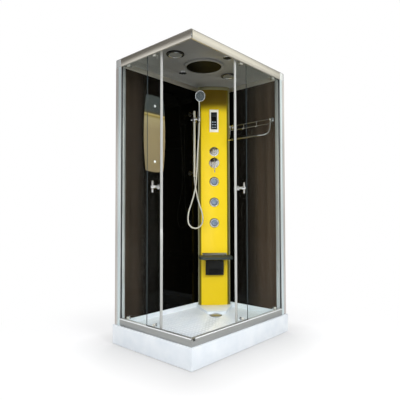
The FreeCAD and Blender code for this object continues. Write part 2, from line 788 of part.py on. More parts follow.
def make_door(prefix, front):
    length = FRONT_DOOR if front else SIDE_DOOR
    height = "(door_head - door_foot)"
    wheel_places = ("wheel_inset", f"({length} - wheel_inset)")
    shoe_z = f"({HEAD_TREAD} - 6)"
    fixings = [(a, WHEEL_Z) for a in wheel_places] + [(a, f"({shoe_z})") for a in wheel_places]
    pane = door_block(front, "strip_cover", "door_plane", "door_foot", f"{length} - strip_cover", "glass",
                      height)
    holes = [door_rod(front, a, "door_plane - 1", z, "bush_radius + glass_hole_play", "glass + 2")
             for a, z in fixings]
    holes.append(door_rod(front, "handle_inset", "door_plane - 1", "handle_height",
                          "handle_bolt + glass_hole_play", "glass + 2"))
    node(f"{prefix}_door_glass", cut(pane, *holes))

    strip = door_block(front, "0", "door_plane - strip_side", "door_foot + 2", "strip_width",
                       "glass + 2 * strip_side", f"{height} - 4")
    slot = door_block(front, "strip_cover", "door_plane", "door_foot", "strip_width", "glass", height)
    node(f"{prefix}_door_strip", cut(strip, slot))

    carriers = []
    outer = f"({FIN} - wheel_width / 2)"
    for a in wheel_places:
        head = door_rod(front, a, f"{outer} - running_gap - axle_head_length", WHEEL_Z, "axle_head",
                        "axle_head_length")
        axle = door_rod(front, a, f"{outer} - running_gap", WHEEL_Z, "axle_radius",
                        f"door_plane - {outer} + running_gap")
        collar_start = "(door_plane - item_gap - collar_length)"
        collar = door_rod(front, a, collar_start, WHEEL_Z, "collar_radius", "collar_length")
        bush = door_rod(front, a, collar_start, WHEEL_Z, "bush_radius",
                        "collar_length + item_gap + glass + 2")
        cap = door_rod(front, a, "door_plane + glass + item_gap", WHEEL_Z, "cap_radius", "cap_length")
        carriers.append(fuse(head, axle, collar, bush, cap))
    for a in wheel_places:
        # an upper shoe straddles the top rail's fin
        shoe = door_block(front, f"({a} - shoe_length / 2)", f"{FIN} - wheel_width / 2", f"({shoe_z} - 8)",
                          "shoe_length", "wheel_width", "14")
        groove = door_block(front, f"({a} - shoe_length)", "fin_start - running_gap",
                            f"({HEAD_TREAD} - running_gap)",
                            "shoe_length * 2", "fin_end - fin_start + 2 * running_gap", "10")
        slot_top = door_block(front, f"({a} - shoe_length)", "fin_start - running_gap", f"({HEAD_TREAD} - 3)",
                              "shoe_length * 2", "fin_end - fin_start + 2 * running_gap", "10")
        bush = door_rod(front, a, f"{FIN} + wheel_width / 2 - 1", shoe_z, "bush_radius",
                        f"door_plane + glass + 2 - {FIN} - wheel_width / 2 + 1")
        cap = door_rod(front, a, "door_plane + glass + item_gap", shoe_z, "cap_radius", "cap_length")
        carriers.append(cut(fuse(shoe, bush, cap), groove, slot_top))
    node(f"{prefix}_door_carriers", group(*carriers))

    for number, a in enumerate(wheel_places, start=1):
        start = f"({FIN} - wheel_width / 2)"
        rim = door_rod(front, a, start, WHEEL_Z, "wheel_radius", "wheel_width")
        groove = cut(door_rod(front, a, f"{FIN} - tread_width / 2", WHEEL_Z, "wheel_radius + 1",
                              "tread_width"),
                     door_rod(front, a, f"{FIN} - tread_width", WHEEL_Z, "wheel_tread", "tread_width * 2"))
        bore = door_rod(front, a, f"{start} - 1", WHEEL_Z, "axle_radius + bore_play", "wheel_width + 2")
        node(f"{prefix}_door_wheel_{number}", cut(rim, groove, bore))

    halves = []
    outside = "(door_plane - item_gap)"
    inside = "(door_plane + glass + item_gap)"
    bar_low = "(handle_height - handle_length / 2)"

    def half(rose_start, stem_start, stem_length, bar_at):
        if front:
            bar = rod("front_door_lead + handle_inset", f"{FRONT} + {bar_at}", bar_low, "handle_bar",
                      "handle_length")
        else:
            bar = rod(f"{SIDE} + {bar_at}", "side_door_lead + handle_inset", bar_low, "handle_bar",
                      "handle_length")
        rose = door_rod(front, "handle_inset", rose_start, "handle_height", "handle_rose",
                        "handle_rose_length")
        stem = door_rod(front, "handle_inset", stem_start, "handle_height", "handle_stem", stem_length)
        return [bar, rose, stem]

    out_bar = "(door_plane - handle_reach)"
    in_bar = "(door_plane + glass + handle_inner_reach)"
    bolt = door_rod(front, "handle_inset", f"{outside} - 5", "handle_height", "handle_bolt",
                    "glass + 2 * item_gap + 5")
    if front:
        knuckle = ball("front_door_lead + handle_inset", f"{FRONT} + {out_bar}", "handle_height",
                       "handle_stem")
    else:
        knuckle = ball(f"{SIDE} + {out_bar}", "side_door_lead + handle_inset", "handle_height", "handle_stem")
    halves.append(fuse(*half(f"{outside} - handle_rose_length", out_bar, f"{outside} - {out_bar}", out_bar),
                       knuckle, bolt))
    halves.append(fuse(*half(inside, inside, f"{in_bar} - {inside}", in_bar)))
    node(f"{prefix}_door_handle", group(*halves))


# ---------------------------------------------------------------- roof

def corner_polygon(border, corner, height):
    """The roof's plan, drawn in by a border, with its rear corner cut parallel to the column's face."""
    left = worked(f"{SIDE} + {border}")
    right = worked(f"{END_OUT} - {border}")
    low = worked(f"{FRONT} + {border}")
    high = worked(f"{REAR_OUT} - {border}")
    # a point on the cut satisfies x + y = line
    line = worked(f"{FACE_X} + {FACE_Y} - {corner} / {HALF_ROOT}")
    points = [(left, low), (right, low), (right, line - right), (line - high, high), (left, high)]
    return Part.makePolygon([FreeCAD.Vector(x, y, height) for x, y in points + points[:1]])


def make_roof():
    base = worked("frame_top")
    skin = size("roof_skin")
    rise = size("roof_rise")
    border = size("roof_border")
    slope = size("roof_slope")
    foot = size("roof_corner_foot")
    top = size("roof_corner_top")
    left, right = worked(SIDE), worked(END_OUT)
    low, high = worked(FRONT), worked(REAR_OUT)
    flange = Part.makeBox(right - left, high - low, skin, FreeCAD.Vector(left, low, base))
    inner = Part.makeLoft([corner_polygon(border, foot, base - 0.01),
                           corner_polygon(border + slope, top, base + rise)], True, True)
    outer = Part.makeLoft([corner_polygon(border - skin, foot - skin, base),
                           corner_polygon(border + slope - skin, top - skin, base + rise + skin)], True, True)
    ceiling = base + rise
    radius = size("disc_radius")
    ring = Part.makeCylinder(radius + size("disc_ring"), size("disc_drop"),
                             FreeCAD.Vector(0, 0, ceiling - size("disc_drop")))
    ring = ring.cut(Part.makeCylinder(radius, size("disc_drop") + 1,
                                      FreeCAD.Vector(0, 0, ceiling - size("disc_drop") - 1)))
    shell = flange.fuse(outer).cut(inner).fuse(ring)
    for side in (-1, 1):
        for x, y, hole in ((side * size("light_offset"), 0, size("light_can")),
                           (0, side * size("grille_offset"), size("grille_can"))):
            shell = shell.cut(Part.makeCylinder(hole + size("item_gap"), rise * 3,
                                                FreeCAD.Vector(x, y, base)))
    shape_node("roof_cap", shell.removeSplitter())
    disc = rod("0", "0", f"{CEILING} - disc_drop + 2", "disc_radius - item_gap / 2", "disc_thickness")
    plug = rod("0", "0", f"{CEILING} - disc_drop + 2 + disc_thickness", "disc_ring * 2",
               "disc_drop - 2 - disc_thickness")
    node("ceiling_disc", fuse(disc, plug))


def make_ceiling_fittings():
    lights = []
    for side in (-1, 1):
        x = f"{side} * light_offset"
        ring = rod(x, "0", f"{CEILING} - light_drop", "light_radius", "light_drop")
        can = rod(x, "0", CEILING, "light_can", "light_height")
        room = rod(x, "0", f"{CEILING} - light_drop - 1", "light_lens + 0.3", "light_height + light_drop - 1")
        lights.append(cut(fuse(ring, can), room))
        lights.append(rod(x, "0", f"{CEILING} - light_drop - 4", "light_lens", "18"))
        # the lamp board that the lens snaps over
        lights.append(rod(x, "0", f"{CEILING} - light_drop + 14", "light_lens - 1",
                          "light_height + light_drop - 16"))
    node("downlights", group(*lights))

    grilles = []
    low = f"({CEILING} - grille_drop)"
    for side in (-1, 1):
        y = f"{side} * grille_offset"
        ring = rod("0", y, low, "grille_radius", "grille_drop")
        can = rod("0", y, CEILING, "grille_can", "fan_height")
        room = rod("0", y, f"{low} + 2", "grille_can - grille_wall", f"fan_height + grille_drop - 4")
        vents = []
        for turn in range(8):
            angle = math.radians(turn * 45)
            vents.append(rod(f"grille_can * 0.62 * {math.cos(angle):.6f}",
                             f"{y} + grille_can * 0.62 * {math.sin(angle):.6f}",
                             f"{low} - 1", "5", "5"))
        vents.append(rod("0", y, f"{low} - 1", "6", "5"))
        shell = cut(fuse(ring, can), room, *vents)
        if side < 0:
            # the fan's motor hangs from the top of its housing, above the outlet holes
            motor = rod("0", y, f"{CEILING} + fan_height - 20", "fan_motor", "20")
            shaft = rod("0", y, f"{CEILING} + 2", "fan_shaft", f"fan_height - 10")
            shell = fuse(shell, motor, shaft)
        else:
            magnet = rod("0", y, f"{CEILING} + fan_height - 22", "fan_motor", "22")
            horn = cone("0", y, f"{CEILING} + 6", "grille_can - grille_wall - 1", "fan_motor",
                        "fan_height - 27")
            shell = fuse(shell, magnet, horn)
        grilles.append(shell)
    node("roof_grilles", group(*grilles))

    y = "(-grille_offset)"
    hub = rod("0", y, f"{CEILING} + 4", "fan_hub", "10")
    bore = rod("0", y, f"{CEILING}", "fan_shaft + bore_play", "20")
    blades = []
    for turn in range(5):
        angle = turn * 72
        blade = box("fan_hub * 0.6", "-4", "-0.75", "fan_blade - fan_hub * 0.6", "8", "1.5")
        turned = FreeCAD.Rotation(FreeCAD.Vector(0, 0, 1), angle).multiply(
            FreeCAD.Rotation(FreeCAD.Vector(1, 0, 0), 28))
        holder = fuse(blade, box("fan_hub * 0.6", "-1", "-0.75", "2", "2", "1.5"))
        place(holder, "0", y, f"{CEILING} + 9", turned)
        blades.append(holder)
    node("fan_rotor", cut(fuse(hub, *blades), bore))


# ---------------------------------------------------------------- column
# Pieces here are made in the column's own frame: X along the face, Y into the corner, Z up. The panel
# bulges towards the room, so its front is at negative Y.

def bowed_section(drawn_in):
    """The bowed section's front line, drawn in by a thickness."""
    half = size("panel_half") - drawn_in
    flat = size("panel_flat_half") - drawn_in * 0.6
    edge = size("panel_edge_bulge") - drawn_in * 0.8
    bulge = size("panel_bulge") - drawn_in
    quarter_x = flat + (half - flat) * 0.74
    quarter_y = edge * 0.66
    v = FreeCAD.Vector
    left = Part.Arc(v(-half, 0, 0), v(-quarter_x, -quarter_y, 0), v(-flat, -edge, 0))
    middle = Part.Arc(v(-flat, -edge, 0), v(0, -bulge, 0), v(flat, -edge, 0))
    right = Part.Arc(v(flat, -edge, 0), v(quarter_x, -quarter_y, 0), v(half, 0, 0))
    close = Part.LineSegment(v(half, 0, 0), v(-half, 0, 0))
    return Part.Face(Part.Wire([edge.toShape() for edge in (left, middle, right, close)]))


def column_placement():
    return FreeCAD.Placement(FreeCAD.Vector(worked(FACE_X), worked(FACE_Y), 0), ACROSS_CORNER)


def make_column_panel():
    foot = size("tray_height")
    height = size("column_top") - foot
    skin = size("panel_skin")
    up = FreeCAD.Vector(0, 0, height)
    solid = bowed_section(0).extrude(up)
    room = bowed_section(skin).extrude(up)
    room.translate(FreeCAD.Vector(0, 0, 0))
    shell = solid.cut(room)
    shell.translate(FreeCAD.Vector(0, 0, foot))
    through = size("panel_bulge") + 20
    toward = FreeCAD.Vector(0, 1, 0)
    holes = [(worked(DIVERTER), size("spindle_hole")), (size("mixer_centre"), size("spindle_hole"))]
    holes += [(size("jet_lowest") + step * size("jet_pitch"), size("jet_cup") + size("item_gap"))
              for step in range(3)]
    for height_of, radius in holes:
        shell = shell.cut(Part.makeCylinder(radius, through, FreeCAD.Vector(0, -through, height_of), toward))
    shape_node("column_panel", shell.removeSplitter(), column_placement())


def make_column_frame():
    """Edge trims that join the panel to the rear walls, with ribs behind the panel and a cap over it."""
    height = "(column_top - tray_height)"
    parts = []
    for side in (-1, 1):
        inner = "(panel_half + 0.3)"
        outer = "(panel_half + trim_width + 2)"
        points = [(inner, "-4"), (outer, "-4"), (outer, "2"), (f"{outer} - 8", "trim_depth + 8"),
                  ("panel_half - 16", "trim_depth + 8"),
                  ("panel_half - 16", "0.3"), (inner, "0.3")]
        outline = [(f"{side} * ({a})", b) for a, b in points]
        parts.append(profile(outline, height, PLAIN, "0", "0", "tray_height"))
    levels = ("tray_height", "(jet_lowest - 90)", "(mixer_centre - 90)", f"({DIVERTER} + 90)",
              "(column_top - rib_height)")
    ribs = [box("-panel_half + 8", "4", level, "2 * (panel_half - 8)", "rib_depth", "rib_height")
            for level in levels]
    cap = profile([("-column_half", "-4"), ("-panel_flat_half", "-panel_edge_bulge - 4"),
                   ("-60", "-panel_bulge - 2"), ("60", "-panel_bulge - 2"),
                   ("panel_flat_half", "-panel_edge_bulge - 4"), ("column_half", "-4"),
                   ("column_half - 20", "28"), ("20 - column_half", "28")],
                  "frame_top - column_top", PLAIN, "0", "0", "column_top")
    on_column("column_frame", fuse(*parts, *ribs, cap))


def make_control_panel():
    low = "(bezel_centre - bezel_height / 2)"
    back = ITEM
    frame = box("-bezel_width / 2", f"{back} - bezel_depth", low, "bezel_width", "bezel_depth",
                "bezel_height")
    window = box("-display_width / 2 - 0.2", f"{back} - bezel_depth - 1",
                 "bezel_centre - display_height / 2 - 0.2",
                 "display_width + 0.4", "bezel_depth + 2", "display_height + 0.4")
    on_column("control_bezel", cut(frame, window))
    keys = []
    for row in range(3):
        for column in (-1, 1):
            keys.append((f"({column} * key_column / 2)", f"(key_lowest + {row} * key_row)"))
    glass = box("-display_width / 2", f"{back} - display_depth", "bezel_centre - display_height / 2",
                "display_width", "display_depth", "display_height")
    holes = [box(f"{x} - key_width / 2 - running_gap", f"{back} - display_depth - 1",
                 f"{z} - key_height / 2 - running_gap",
                 "key_width + 2 * running_gap", "display_depth + 2", "key_height + 2 * running_gap")
             for x, z in keys]
    on_column("control_display", cut(glass, *holes))
    for number, (x, z) in enumerate(keys, start=1):
        key = box(f"{x} - key_width / 2", f"{back} - display_depth - key_proud", f"{z} - key_height / 2",
                  "key_width", "key_depth", "key_height")
        on_column(f"control_key_{number}", group(key))


def make_valves():
    back = ITEM
    # diverter: a rose that turns with its ridged grip
    rose = rod("0", f"{back} - rose_thickness", DIVERTER, "diverter_rose", "rose_thickness", "+Y")
    front = f"({back} - rose_thickness - diverter_grip_length)"
    grip = rod("0", front, DIVERTER, "diverter_grip", "diverter_grip_length + 1", "+Y")
    ridge = box("-5", f"{front} - 5", f"{DIVERTER} - diverter_grip + 3", "10", "6", "2 * diverter_grip - 6")
    socket = rod("0", f"{back} - rose_thickness", DIVERTER, "spindle_radius + bore_play",
                 "rose_thickness + 1", "+Y")
    on_column("diverter_knob", cut(fuse(rose, grip, ridge), socket))

    # mixer: a rose and slotted neck that turn for warmth, and a lever pinned in the slot for flow
    rose = rod("0", f"{back} - rose_thickness", "mixer_centre", "mixer_rose", "rose_thickness", "+Y")
    neck_front = f"({back} - rose_thickness - mixer_neck_length)"
    neck = rod("0", neck_front, "mixer_centre", "mixer_neck", "mixer_neck_length + 1", "+Y")
    slot = box("-lever_width / 2 - running_gap", f"{neck_front} - 1", "mixer_centre - mixer_neck - 1",
               "lever_width + 2 * running_gap", "mixer_neck_length - 3", "2 * mixer_neck + 2")
    pin_y = f"({neck_front} + 7)"
    pin = rod("-mixer_neck + 3", pin_y, "mixer_centre", "lever_pin", "2 * mixer_neck - 6", "+X")
    socket = rod("0", f"{back} - rose_thickness", "mixer_centre", "spindle_radius + bore_play",
                 "rose_thickness + 1", "+Y")
    on_column("mixer_collar", fuse(cut(fuse(rose, neck), slot, socket), pin))
    blade = box("-lever_width / 2", f"{neck_front} - lever_gap - lever_thickness",
                "mixer_centre - lever_down",
                "lever_width", "lever_thickness", "lever_up + lever_down")
    root = box("-lever_width / 2", f"{neck_front} - lever_gap - 1", "mixer_centre - 7", "lever_width",
               "lever_gap + 14", "14")
    bore = rod("-lever_width", pin_y, "mixer_centre", "lever_pin + bore_play", "lever_width * 2", "+X")
    on_column("mixer_lever", cut(fuse(blade, root), bore))

    # brass manifold behind the panel, with spindles through it, inlets at the back and supplies to the jets
    low = "(mixer_centre - 46)"
    block = box("-block_width / 2", "block_back - block_depth", low, "block_width", "block_depth",
                "diverter_rise + 92")
    parts = [block]
    for centre in (DIVERTER, "mixer_centre"):
        parts.append(rod("0", f"{back} - rose_thickness + 3", centre, "spindle_radius",
                         f"block_back - block_depth - ({back} - rose_thickness + 3) + 1", "+Y"))
    for side in (-1, 1):
        x = f"({side} * inlet_spacing / 2)"
        parts.append(rod(x, "block_back - 1", "mixer_centre", "inlet_radius", "inlet_length + 1", "+Y"))
    room = [box("block_skin - block_width / 2", "block_back - block_depth + block_skin",
                f"{low} + block_skin",
                "block_width - 2 * block_skin", "block_depth - 2 * block_skin",
                "diverter_rise + 92 - 2 * block_skin")]
    for side in (-1, 1):
        room.append(rod(f"({side} * inlet_spacing / 2)", "block_back - block_skin - 1", "mixer_centre",
                        "inlet_bore",
                        "inlet_length + block_skin + 2", "+Y"))
    pipe_y = "(block_back - block_depth / 2)"
    low_end = "(jet_lowest - 10)"
    parts.append(rod("0", pipe_y, low_end, "pipe_radius", f"{low} - {low_end} + 1"))
    for step in range(3):
        z = f"(jet_lowest + {step} * jet_pitch)"
        start = f"({back} + jet_cup_depth + 4)"
        parts.append(rod("0", start, z, "branch_radius", f"{pipe_y} - {start}", "+Y"))
    on_column("water_manifold", cut(fuse(*parts), *room))


def make_jets():
    back = ITEM
    rings = []
    for step in range(3):
        z = f"(jet_lowest + {step} * jet_pitch)"
        lip = rod("0", f"{back} - jet_ring_depth - 2", z, "jet_ring", "jet_ring_depth + 2", "+Y")
        cup = rod("0", back, z, "jet_cup", "jet_cup_depth + 4", "+Y")
        bore = rod("0", f"{back} - jet_ring_depth + 2", z, "jet_bore", "jet_ring_depth + jet_cup_depth - 2",
                   "+Y")
        mouth = rod("0", f"{back} - jet_ring_depth - 3", z, "jet_lip", "6", "+Y")
        bearing = rod("-jet_cup - 1", "-jet_ball_centre", z, "jet_pivot + bore_play", "2 * jet_cup + 2", "+X")
        rings.append(cut(fuse(lip, cup), bore, mouth, bearing))
    on_column("jet_housings", group(*rings))
    for step in range(3):
        z = f"(jet_lowest + {step} * jet_pitch)"
        sphere = ball("0", "-jet_ball_centre", z, "jet_ball")
        keep = box("-jet_ring", "-jet_ball_front", f"{z} - jet_ring", "2 * jet_ring",
                   "jet_ball_front - jet_ball_back", "2 * jet_ring")
        pivot = rod("0.5 - jet_cup", "-jet_ball_centre", z, "jet_pivot", "2 * jet_cup - 1", "+X")
        on_column(f"jet_nozzle_{step + 1}", fuse(common(sphere, keep), pivot))


def make_seat():
    thickness = size("seat_thickness")
    width = size("seat_width")
    front = size("seat_front")
    rear = size("seat_back")
    axis_out = size("hinge_axis_out")
    axis_up = size("hinge_axis_height")
    top = worked(SEAT_TOP)
    corner = size("seat_corner")
    plate = Part.makeBox(width, front - rear, thickness, FreeCAD.Vector(-width / 2, -front, top - thickness))
    upright = [edge for edge in plate.Edges
               if abs(edge.BoundBox.ZLength - thickness) < 1e-6 and edge.BoundBox.YMax < -front + 1e-6]
    plate = plate.makeFillet(corner, upright)
    arm = size("arm_width")
    knuckle = size("hinge_knuckle")
    ear_inside = size("hinge_width") / 2 - size("hinge_ear")
    for side in (-1, 1):
        inner = side * (ear_inside - size("running_gap") - arm / 2)
        across = FreeCAD.Vector(1, 0, 0)
        start = FreeCAD.Vector(inner - arm / 2, -axis_out, axis_up)
        boss = Part.makeCylinder(knuckle, arm, start, across)
        link = Part.makeBox(arm, rear - axis_out + 4, thickness - 6,
                            FreeCAD.Vector(inner - arm / 2, -rear - 4, top - thickness + 3))
        hole = Part.makeCylinder(size("hinge_pin") + size("bore_play"), arm + 2,
                                 start - FreeCAD.Vector(1, 0, 0), across)
        plate = plate.fuse([boss, link]).cut(hole)
    shape_node("seat", plate.removeSplitter(), column_placement())

    back = ITEM
    base = box("-hinge_width / 2", f"{back} - hinge_plate", "hinge_axis_height - hinge_below", "hinge_width",
               "hinge_plate", "hinge_below + hinge_above")
    parts = [base]
    for side in (-1, 1):
        x = f"({side} * (hinge_width / 2 - hinge_ear / 2) - hinge_ear / 2)"
        parts.append(box(x, "-hinge_axis_out - hinge_knuckle", "hinge_axis_height - hinge_knuckle",
                         "hinge_ear",
                         f"hinge_axis_out + hinge_knuckle + {back} - 1", "2 * hinge_knuckle"))
    pin = rod("-hinge_width / 2 - 3", "-hinge_axis_out", "hinge_axis_height", "hinge_pin",
              "hinge_width + 6", "+X")
    on_column("seat_hinge", fuse(*parts, pin))


def make_steam():
    back = ITEM
    low = f"({OUTLET_TOP} - outlet_height)"
    shell = box("-outlet_width / 2", f"{back} - outlet_depth", low, "outlet_width", "outlet_depth",
                "outlet_height")
    room = box("4 - outlet_width / 2", f"{back} - outlet_depth + 4", f"{low} + 4", "outlet_width - 8",
               "outlet_depth - 8", "outlet_height - 8")
    slots = []
    for step in range(int(size("slot_count"))):
        slots.append(box("-slot_width / 2", f"{back} - outlet_depth - 1", f"{low} + 16 + {step} * slot_pitch",
                         "slot_width", "6", "slot_height"))
    on_column("steam_outlet", cut(shell, room, *slots))
    outlet_middle = f"({OUTLET_TOP} - outlet_height / 2)"
    tank_top = f"({outlet_middle} - boiler_neck)"
    tank = box("-boiler_width / 2", "boiler_gap", "boiler_foot", "boiler_width", "boiler_depth",
               f"{tank_top} - boiler_foot")
    hollow = box("boiler_skin - boiler_width / 2", "boiler_gap + boiler_skin", "boiler_foot + boiler_skin",
                 "boiler_width - 2 * boiler_skin", "boiler_depth - 2 * boiler_skin",
                 f"{tank_top} - boiler_foot - 2 * boiler_skin")
    gland = rod("boiler_width / 4", "boiler_gap + boiler_depth - 1", "boiler_foot + 40", "9", "13", "+Y")
    inlet = rod("boiler_width / 4", "boiler_gap + boiler_depth - boiler_skin - 1", "boiler_foot + 40", "6",
                "16", "+Y")
    elbow = rod("0", f"{back} + 6", outlet_middle, "steam_pipe",
                f"boiler_gap + boiler_depth / 2 - ({back} + 6)", "+Y")
    neck = rod("0", "boiler_gap + boiler_depth / 2", f"{tank_top} - 1", "steam_pipe + 3",
               "boiler_neck + steam_pipe + 4")
    feet = [box(f"{side} * 50 - 8", "5 + rib_depth", "tray_height", "16",
                "boiler_gap + boiler_depth - 8 - rib_depth", "boiler_foot - tray_height + 1")
            for side in (-1, 1)]
    on_column("steam_generator", cut(fuse(tank, gland, elbow, neck, *feet), hollow, inlet))


# ---------------------------------------------------------------- hand shower

def make_riser():
    y = RISER_Y
    tube = rod("riser_x", y, "riser_foot", "riser_radius", "riser_length")
    parts = [tube]
    for z in ("(riser_foot + bracket_inset)", "(riser_foot + riser_length - bracket_inset)"):
        parts.append(rod("riser_x", y, z, "bracket_radius", "riser_standoff", "+Y"))
        parts.append(rod("riser_x", f"{REAR_WALL} - bracket_rose_length", z, "bracket_rose",
                         "bracket_rose_length", "+Y"))
    parts.append(rod("riser_x", y, "riser_foot - hose_nut_length", "hose_nut", "hose_nut_length + 1"))
    parts.append(ball("riser_x", y, "riser_foot + riser_length", "riser_radius"))
    node("riser_rail", fuse(*parts))

    # made about the rail's axis: X along the column's face, Y into the corner
    sleeve = rod("0", "0", "slider_centre - slider_height / 2", "slider_radius", "slider_height")
    bore = rod("0", "0", "slider_centre - slider_height", "riser_radius + slider_play", "slider_height * 2")
    knob = rod("-slider_radius - slider_knob_length", "0", "slider_centre", "slider_knob",
               "slider_knob_length + 8", "+X")
    arm = box("-cradle_arm", "-cradle_forward", "slider_centre - cradle_boss", "2 * cradle_arm",
              "cradle_forward",
              "2 * cradle_boss")
    boss = rod("-cradle_arm", "-cradle_forward", "slider_centre", "cradle_boss",
               "cradle_reach - cradle_radius + cradle_arm - 3", "+X")
    pin = rod("0", "-cradle_forward", "slider_centre", "cradle_pin", "cradle_reach - cradle_radius + 2", "+X")
    slider = fuse(cut(fuse(sleeve, knob, arm, boss), bore), pin)
    place(slider, "riser_x", RISER_Y, "0", ACROSS_CORNER)
    node("handset_slider", slider)


def make_handset():
    """Made about the handset's own upright axis, then set at the cradle's reach from the rail."""
    cup = rod("0", "0", "slider_centre - cradle_height / 2", "cradle_radius", "cradle_height")
    bore = rod("0", "0", "slider_centre - cradle_height", "handle_grip + running_gap", "cradle_height * 2")
    socket = rod("-cradle_radius - 5", "0", "slider_centre", "cradle_pin + bore_play", "cradle_radius", "+X")
    cradle = cut(fuse(cup, rod("-cradle_radius - 1.5", "0", "slider_centre", "cradle_pin + 3",
                               "cradle_radius", "+X")),
                 bore, socket)
    place(cradle, CRADLE_X, CRADLE_Y, "0", ACROSS_CORNER)
    node("handset_cradle", cradle)

    foot = "(slider_centre - cradle_height / 2 - 4)"
    grip = rod("0", "0", foot, "handle_grip", "grip_length + 8")
    stop = rod("0", "0", f"{foot} + cradle_height + 4 + running_gap", "handle_grip + 2", "5")
    nut = rod("0", "0", f"{foot} - hose_nut_length", "hose_nut", "hose_nut_length + 1")
    head = doc.addObject("Part::Cylinder", "head")
    head.setExpression("Radius", bound("head_radius"))
    head.setExpression("Height", bound("head_depth"))
    tilt = FreeCAD.Rotation(FreeCAD.Vector(1, 0, 0), 90 + size("head_tilt"))
    turn = FreeCAD.Rotation(FreeCAD.Vector(0, 0, 1), size("head_turn"))
    across, ahead = (f"head_forward * {part(math.radians(size('head_turn'))):.9f}"
                     for part in (math.sin, math.cos))
    place(head, across, f"-{ahead}", HEAD_Z, turn.multiply(tilt))
    neck = rod("0", "0", f"{foot} + grip_length - 4", "handle_grip + 3", "30")
    handset = fuse(grip, stop, nut, head, neck)
    place(handset, CRADLE_X, CRADLE_Y, "0", ACROSS_CORNER)
    node("handset", handset)


HOSE_POINTS = (
    (None, None, None), (None, None, 1768), (250, 298, 1640), (252, 308, 1505), (249, 315, 1372),
    (234, 316, 1240), (197, 327, 1118), (159, 339, 1018), (156, 340, 933), (187, 333, 888),
    (238, 320, 872), (288, 308, 888), (319, 300, 933), (316, 302, 1010), (283, 313, 1096),
    (267, 326, 1172), (259, 335, 1242), (None, None, 1302), (None, None, None),
)


def make_hose():
    """A hanging hose: straight runs joined by tangent arcs, each as large as its two runs allow."""
    top = worked("slider_centre - cradle_height / 2 - 4 - hose_nut_length")
    end = worked("riser_foot - hose_nut_length")
    first = (worked(CRADLE_X), worked(CRADLE_Y))
    last = (worked("riser_x"), worked(RISER_Y))
    points = [FreeCAD.Vector(*first, top), FreeCAD.Vector(*first, HOSE_POINTS[1][2])]
    points += [FreeCAD.Vector(*point) for point in HOSE_POINTS[2:-2]]
    points += [FreeCAD.Vector(*last, HOSE_POINTS[-2][2]), FreeCAD.Vector(*last, end)]
    shape, length, radii = rounded_tube(points, size("hose_diameter") / 2)
    print("hose length", round(length), "radii", [round(r) for r in radii])
    shape_node("shower_hose", shape)


def rounded_tube(points, radius):
    edges = []
    radii = []
    start = points[0]
    length = 0
    for before, at, after in zip(points, points[1:], points[2:]):
        into = (at - before).normalize()
        out = (after - at).normalize()
        shorter = min((at - before).Length, (after - at).Length)
        turn = into.getAngle(out)
        bend = 0.45 * shorter / math.tan(turn / 2)
        radii.append(bend)
        first = at - into * 0.45 * shorter
        last = at + out * 0.45 * shorter
        inward = (out - into).normalize()
        middle = at + inward * (bend / math.cos(turn / 2) - bend)
        edges.append(Part.LineSegment(start, first).toShape())
        edges.append(Part.Arc(first, middle, last).toShape())
        start = last
    edges.append(Part.LineSegment(start, points[-1]).toShape())
    path = Part.Wire(edges)
    length = path.Length
    circle = Part.Wire([Part.makeCircle(radius, points[0], points[1] - points[0])])
    tube = path.makePipeShell([circle], True, False)
    expected = math.pi * radius ** 2 * length
    print("tube volume against section times length", round(tube.Volume / expected, 4))
    return tube, length, radii


# ---------------------------------------------------------------- mirror and towel rack

def make_mirror():
    half = size("mirror_height") / 2
    end = size("mirror_end_half")
    middle = size("mirror_middle_half")
    rise = size("mirror_end_rise")
    v = FreeCAD.Vector
    corners = [v(-end, 0, half), v(end, 0, half), v(end, 0, -half), v(-end, 0, -half)]
    arcs = [Part.Arc(corners[0], v(0, 0, half + rise), corners[1]),
            Part.Arc(corners[1], v(middle, 0, 0), corners[2]),
            Part.Arc(corners[2], v(0, 0, -half - rise), corners[3]),
            Part.Arc(corners[3], v(-middle, 0, 0), corners[0])]
    plate = Part.Face(Part.Wire([arc.toShape() for arc in arcs])).extrude(v(0, size("mirror_thickness"), 0))
    parts = []
    toward = v(0, 1, 0)
    depth = size("mirror_thickness") + size("mirror_standoff")
    for side in (-1, 1):
        z = side * size("stud_spacing") / 2
        hole = Part.makeCylinder(size("stud_shank") + size("item_gap"), depth, v(0, 0, z), toward)
        plate = plate.cut(hole)
        head = Part.makeCylinder(size("stud_head"), size("stud_head_length"),
                                 v(0, -size("stud_head_length"), z), toward)
        shank = Part.makeCylinder(size("stud_shank"), depth, v(0, 0, z), toward)
        spacer = Part.makeCylinder(size("stud_radius"), size("mirror_standoff"),
                                   v(0, size("mirror_thickness"), z), toward)
        parts.append(head.fuse([shank, spacer]))
    place_at = v(size("mirror_x"), worked(f"{REAR_WALL} - mirror_thickness - mirror_standoff"),
                 size("mirror_centre"))
    shape_node("mirror", Part.makeCompound([plate, *parts]), FreeCAD.Placement(place_at, PLAIN))


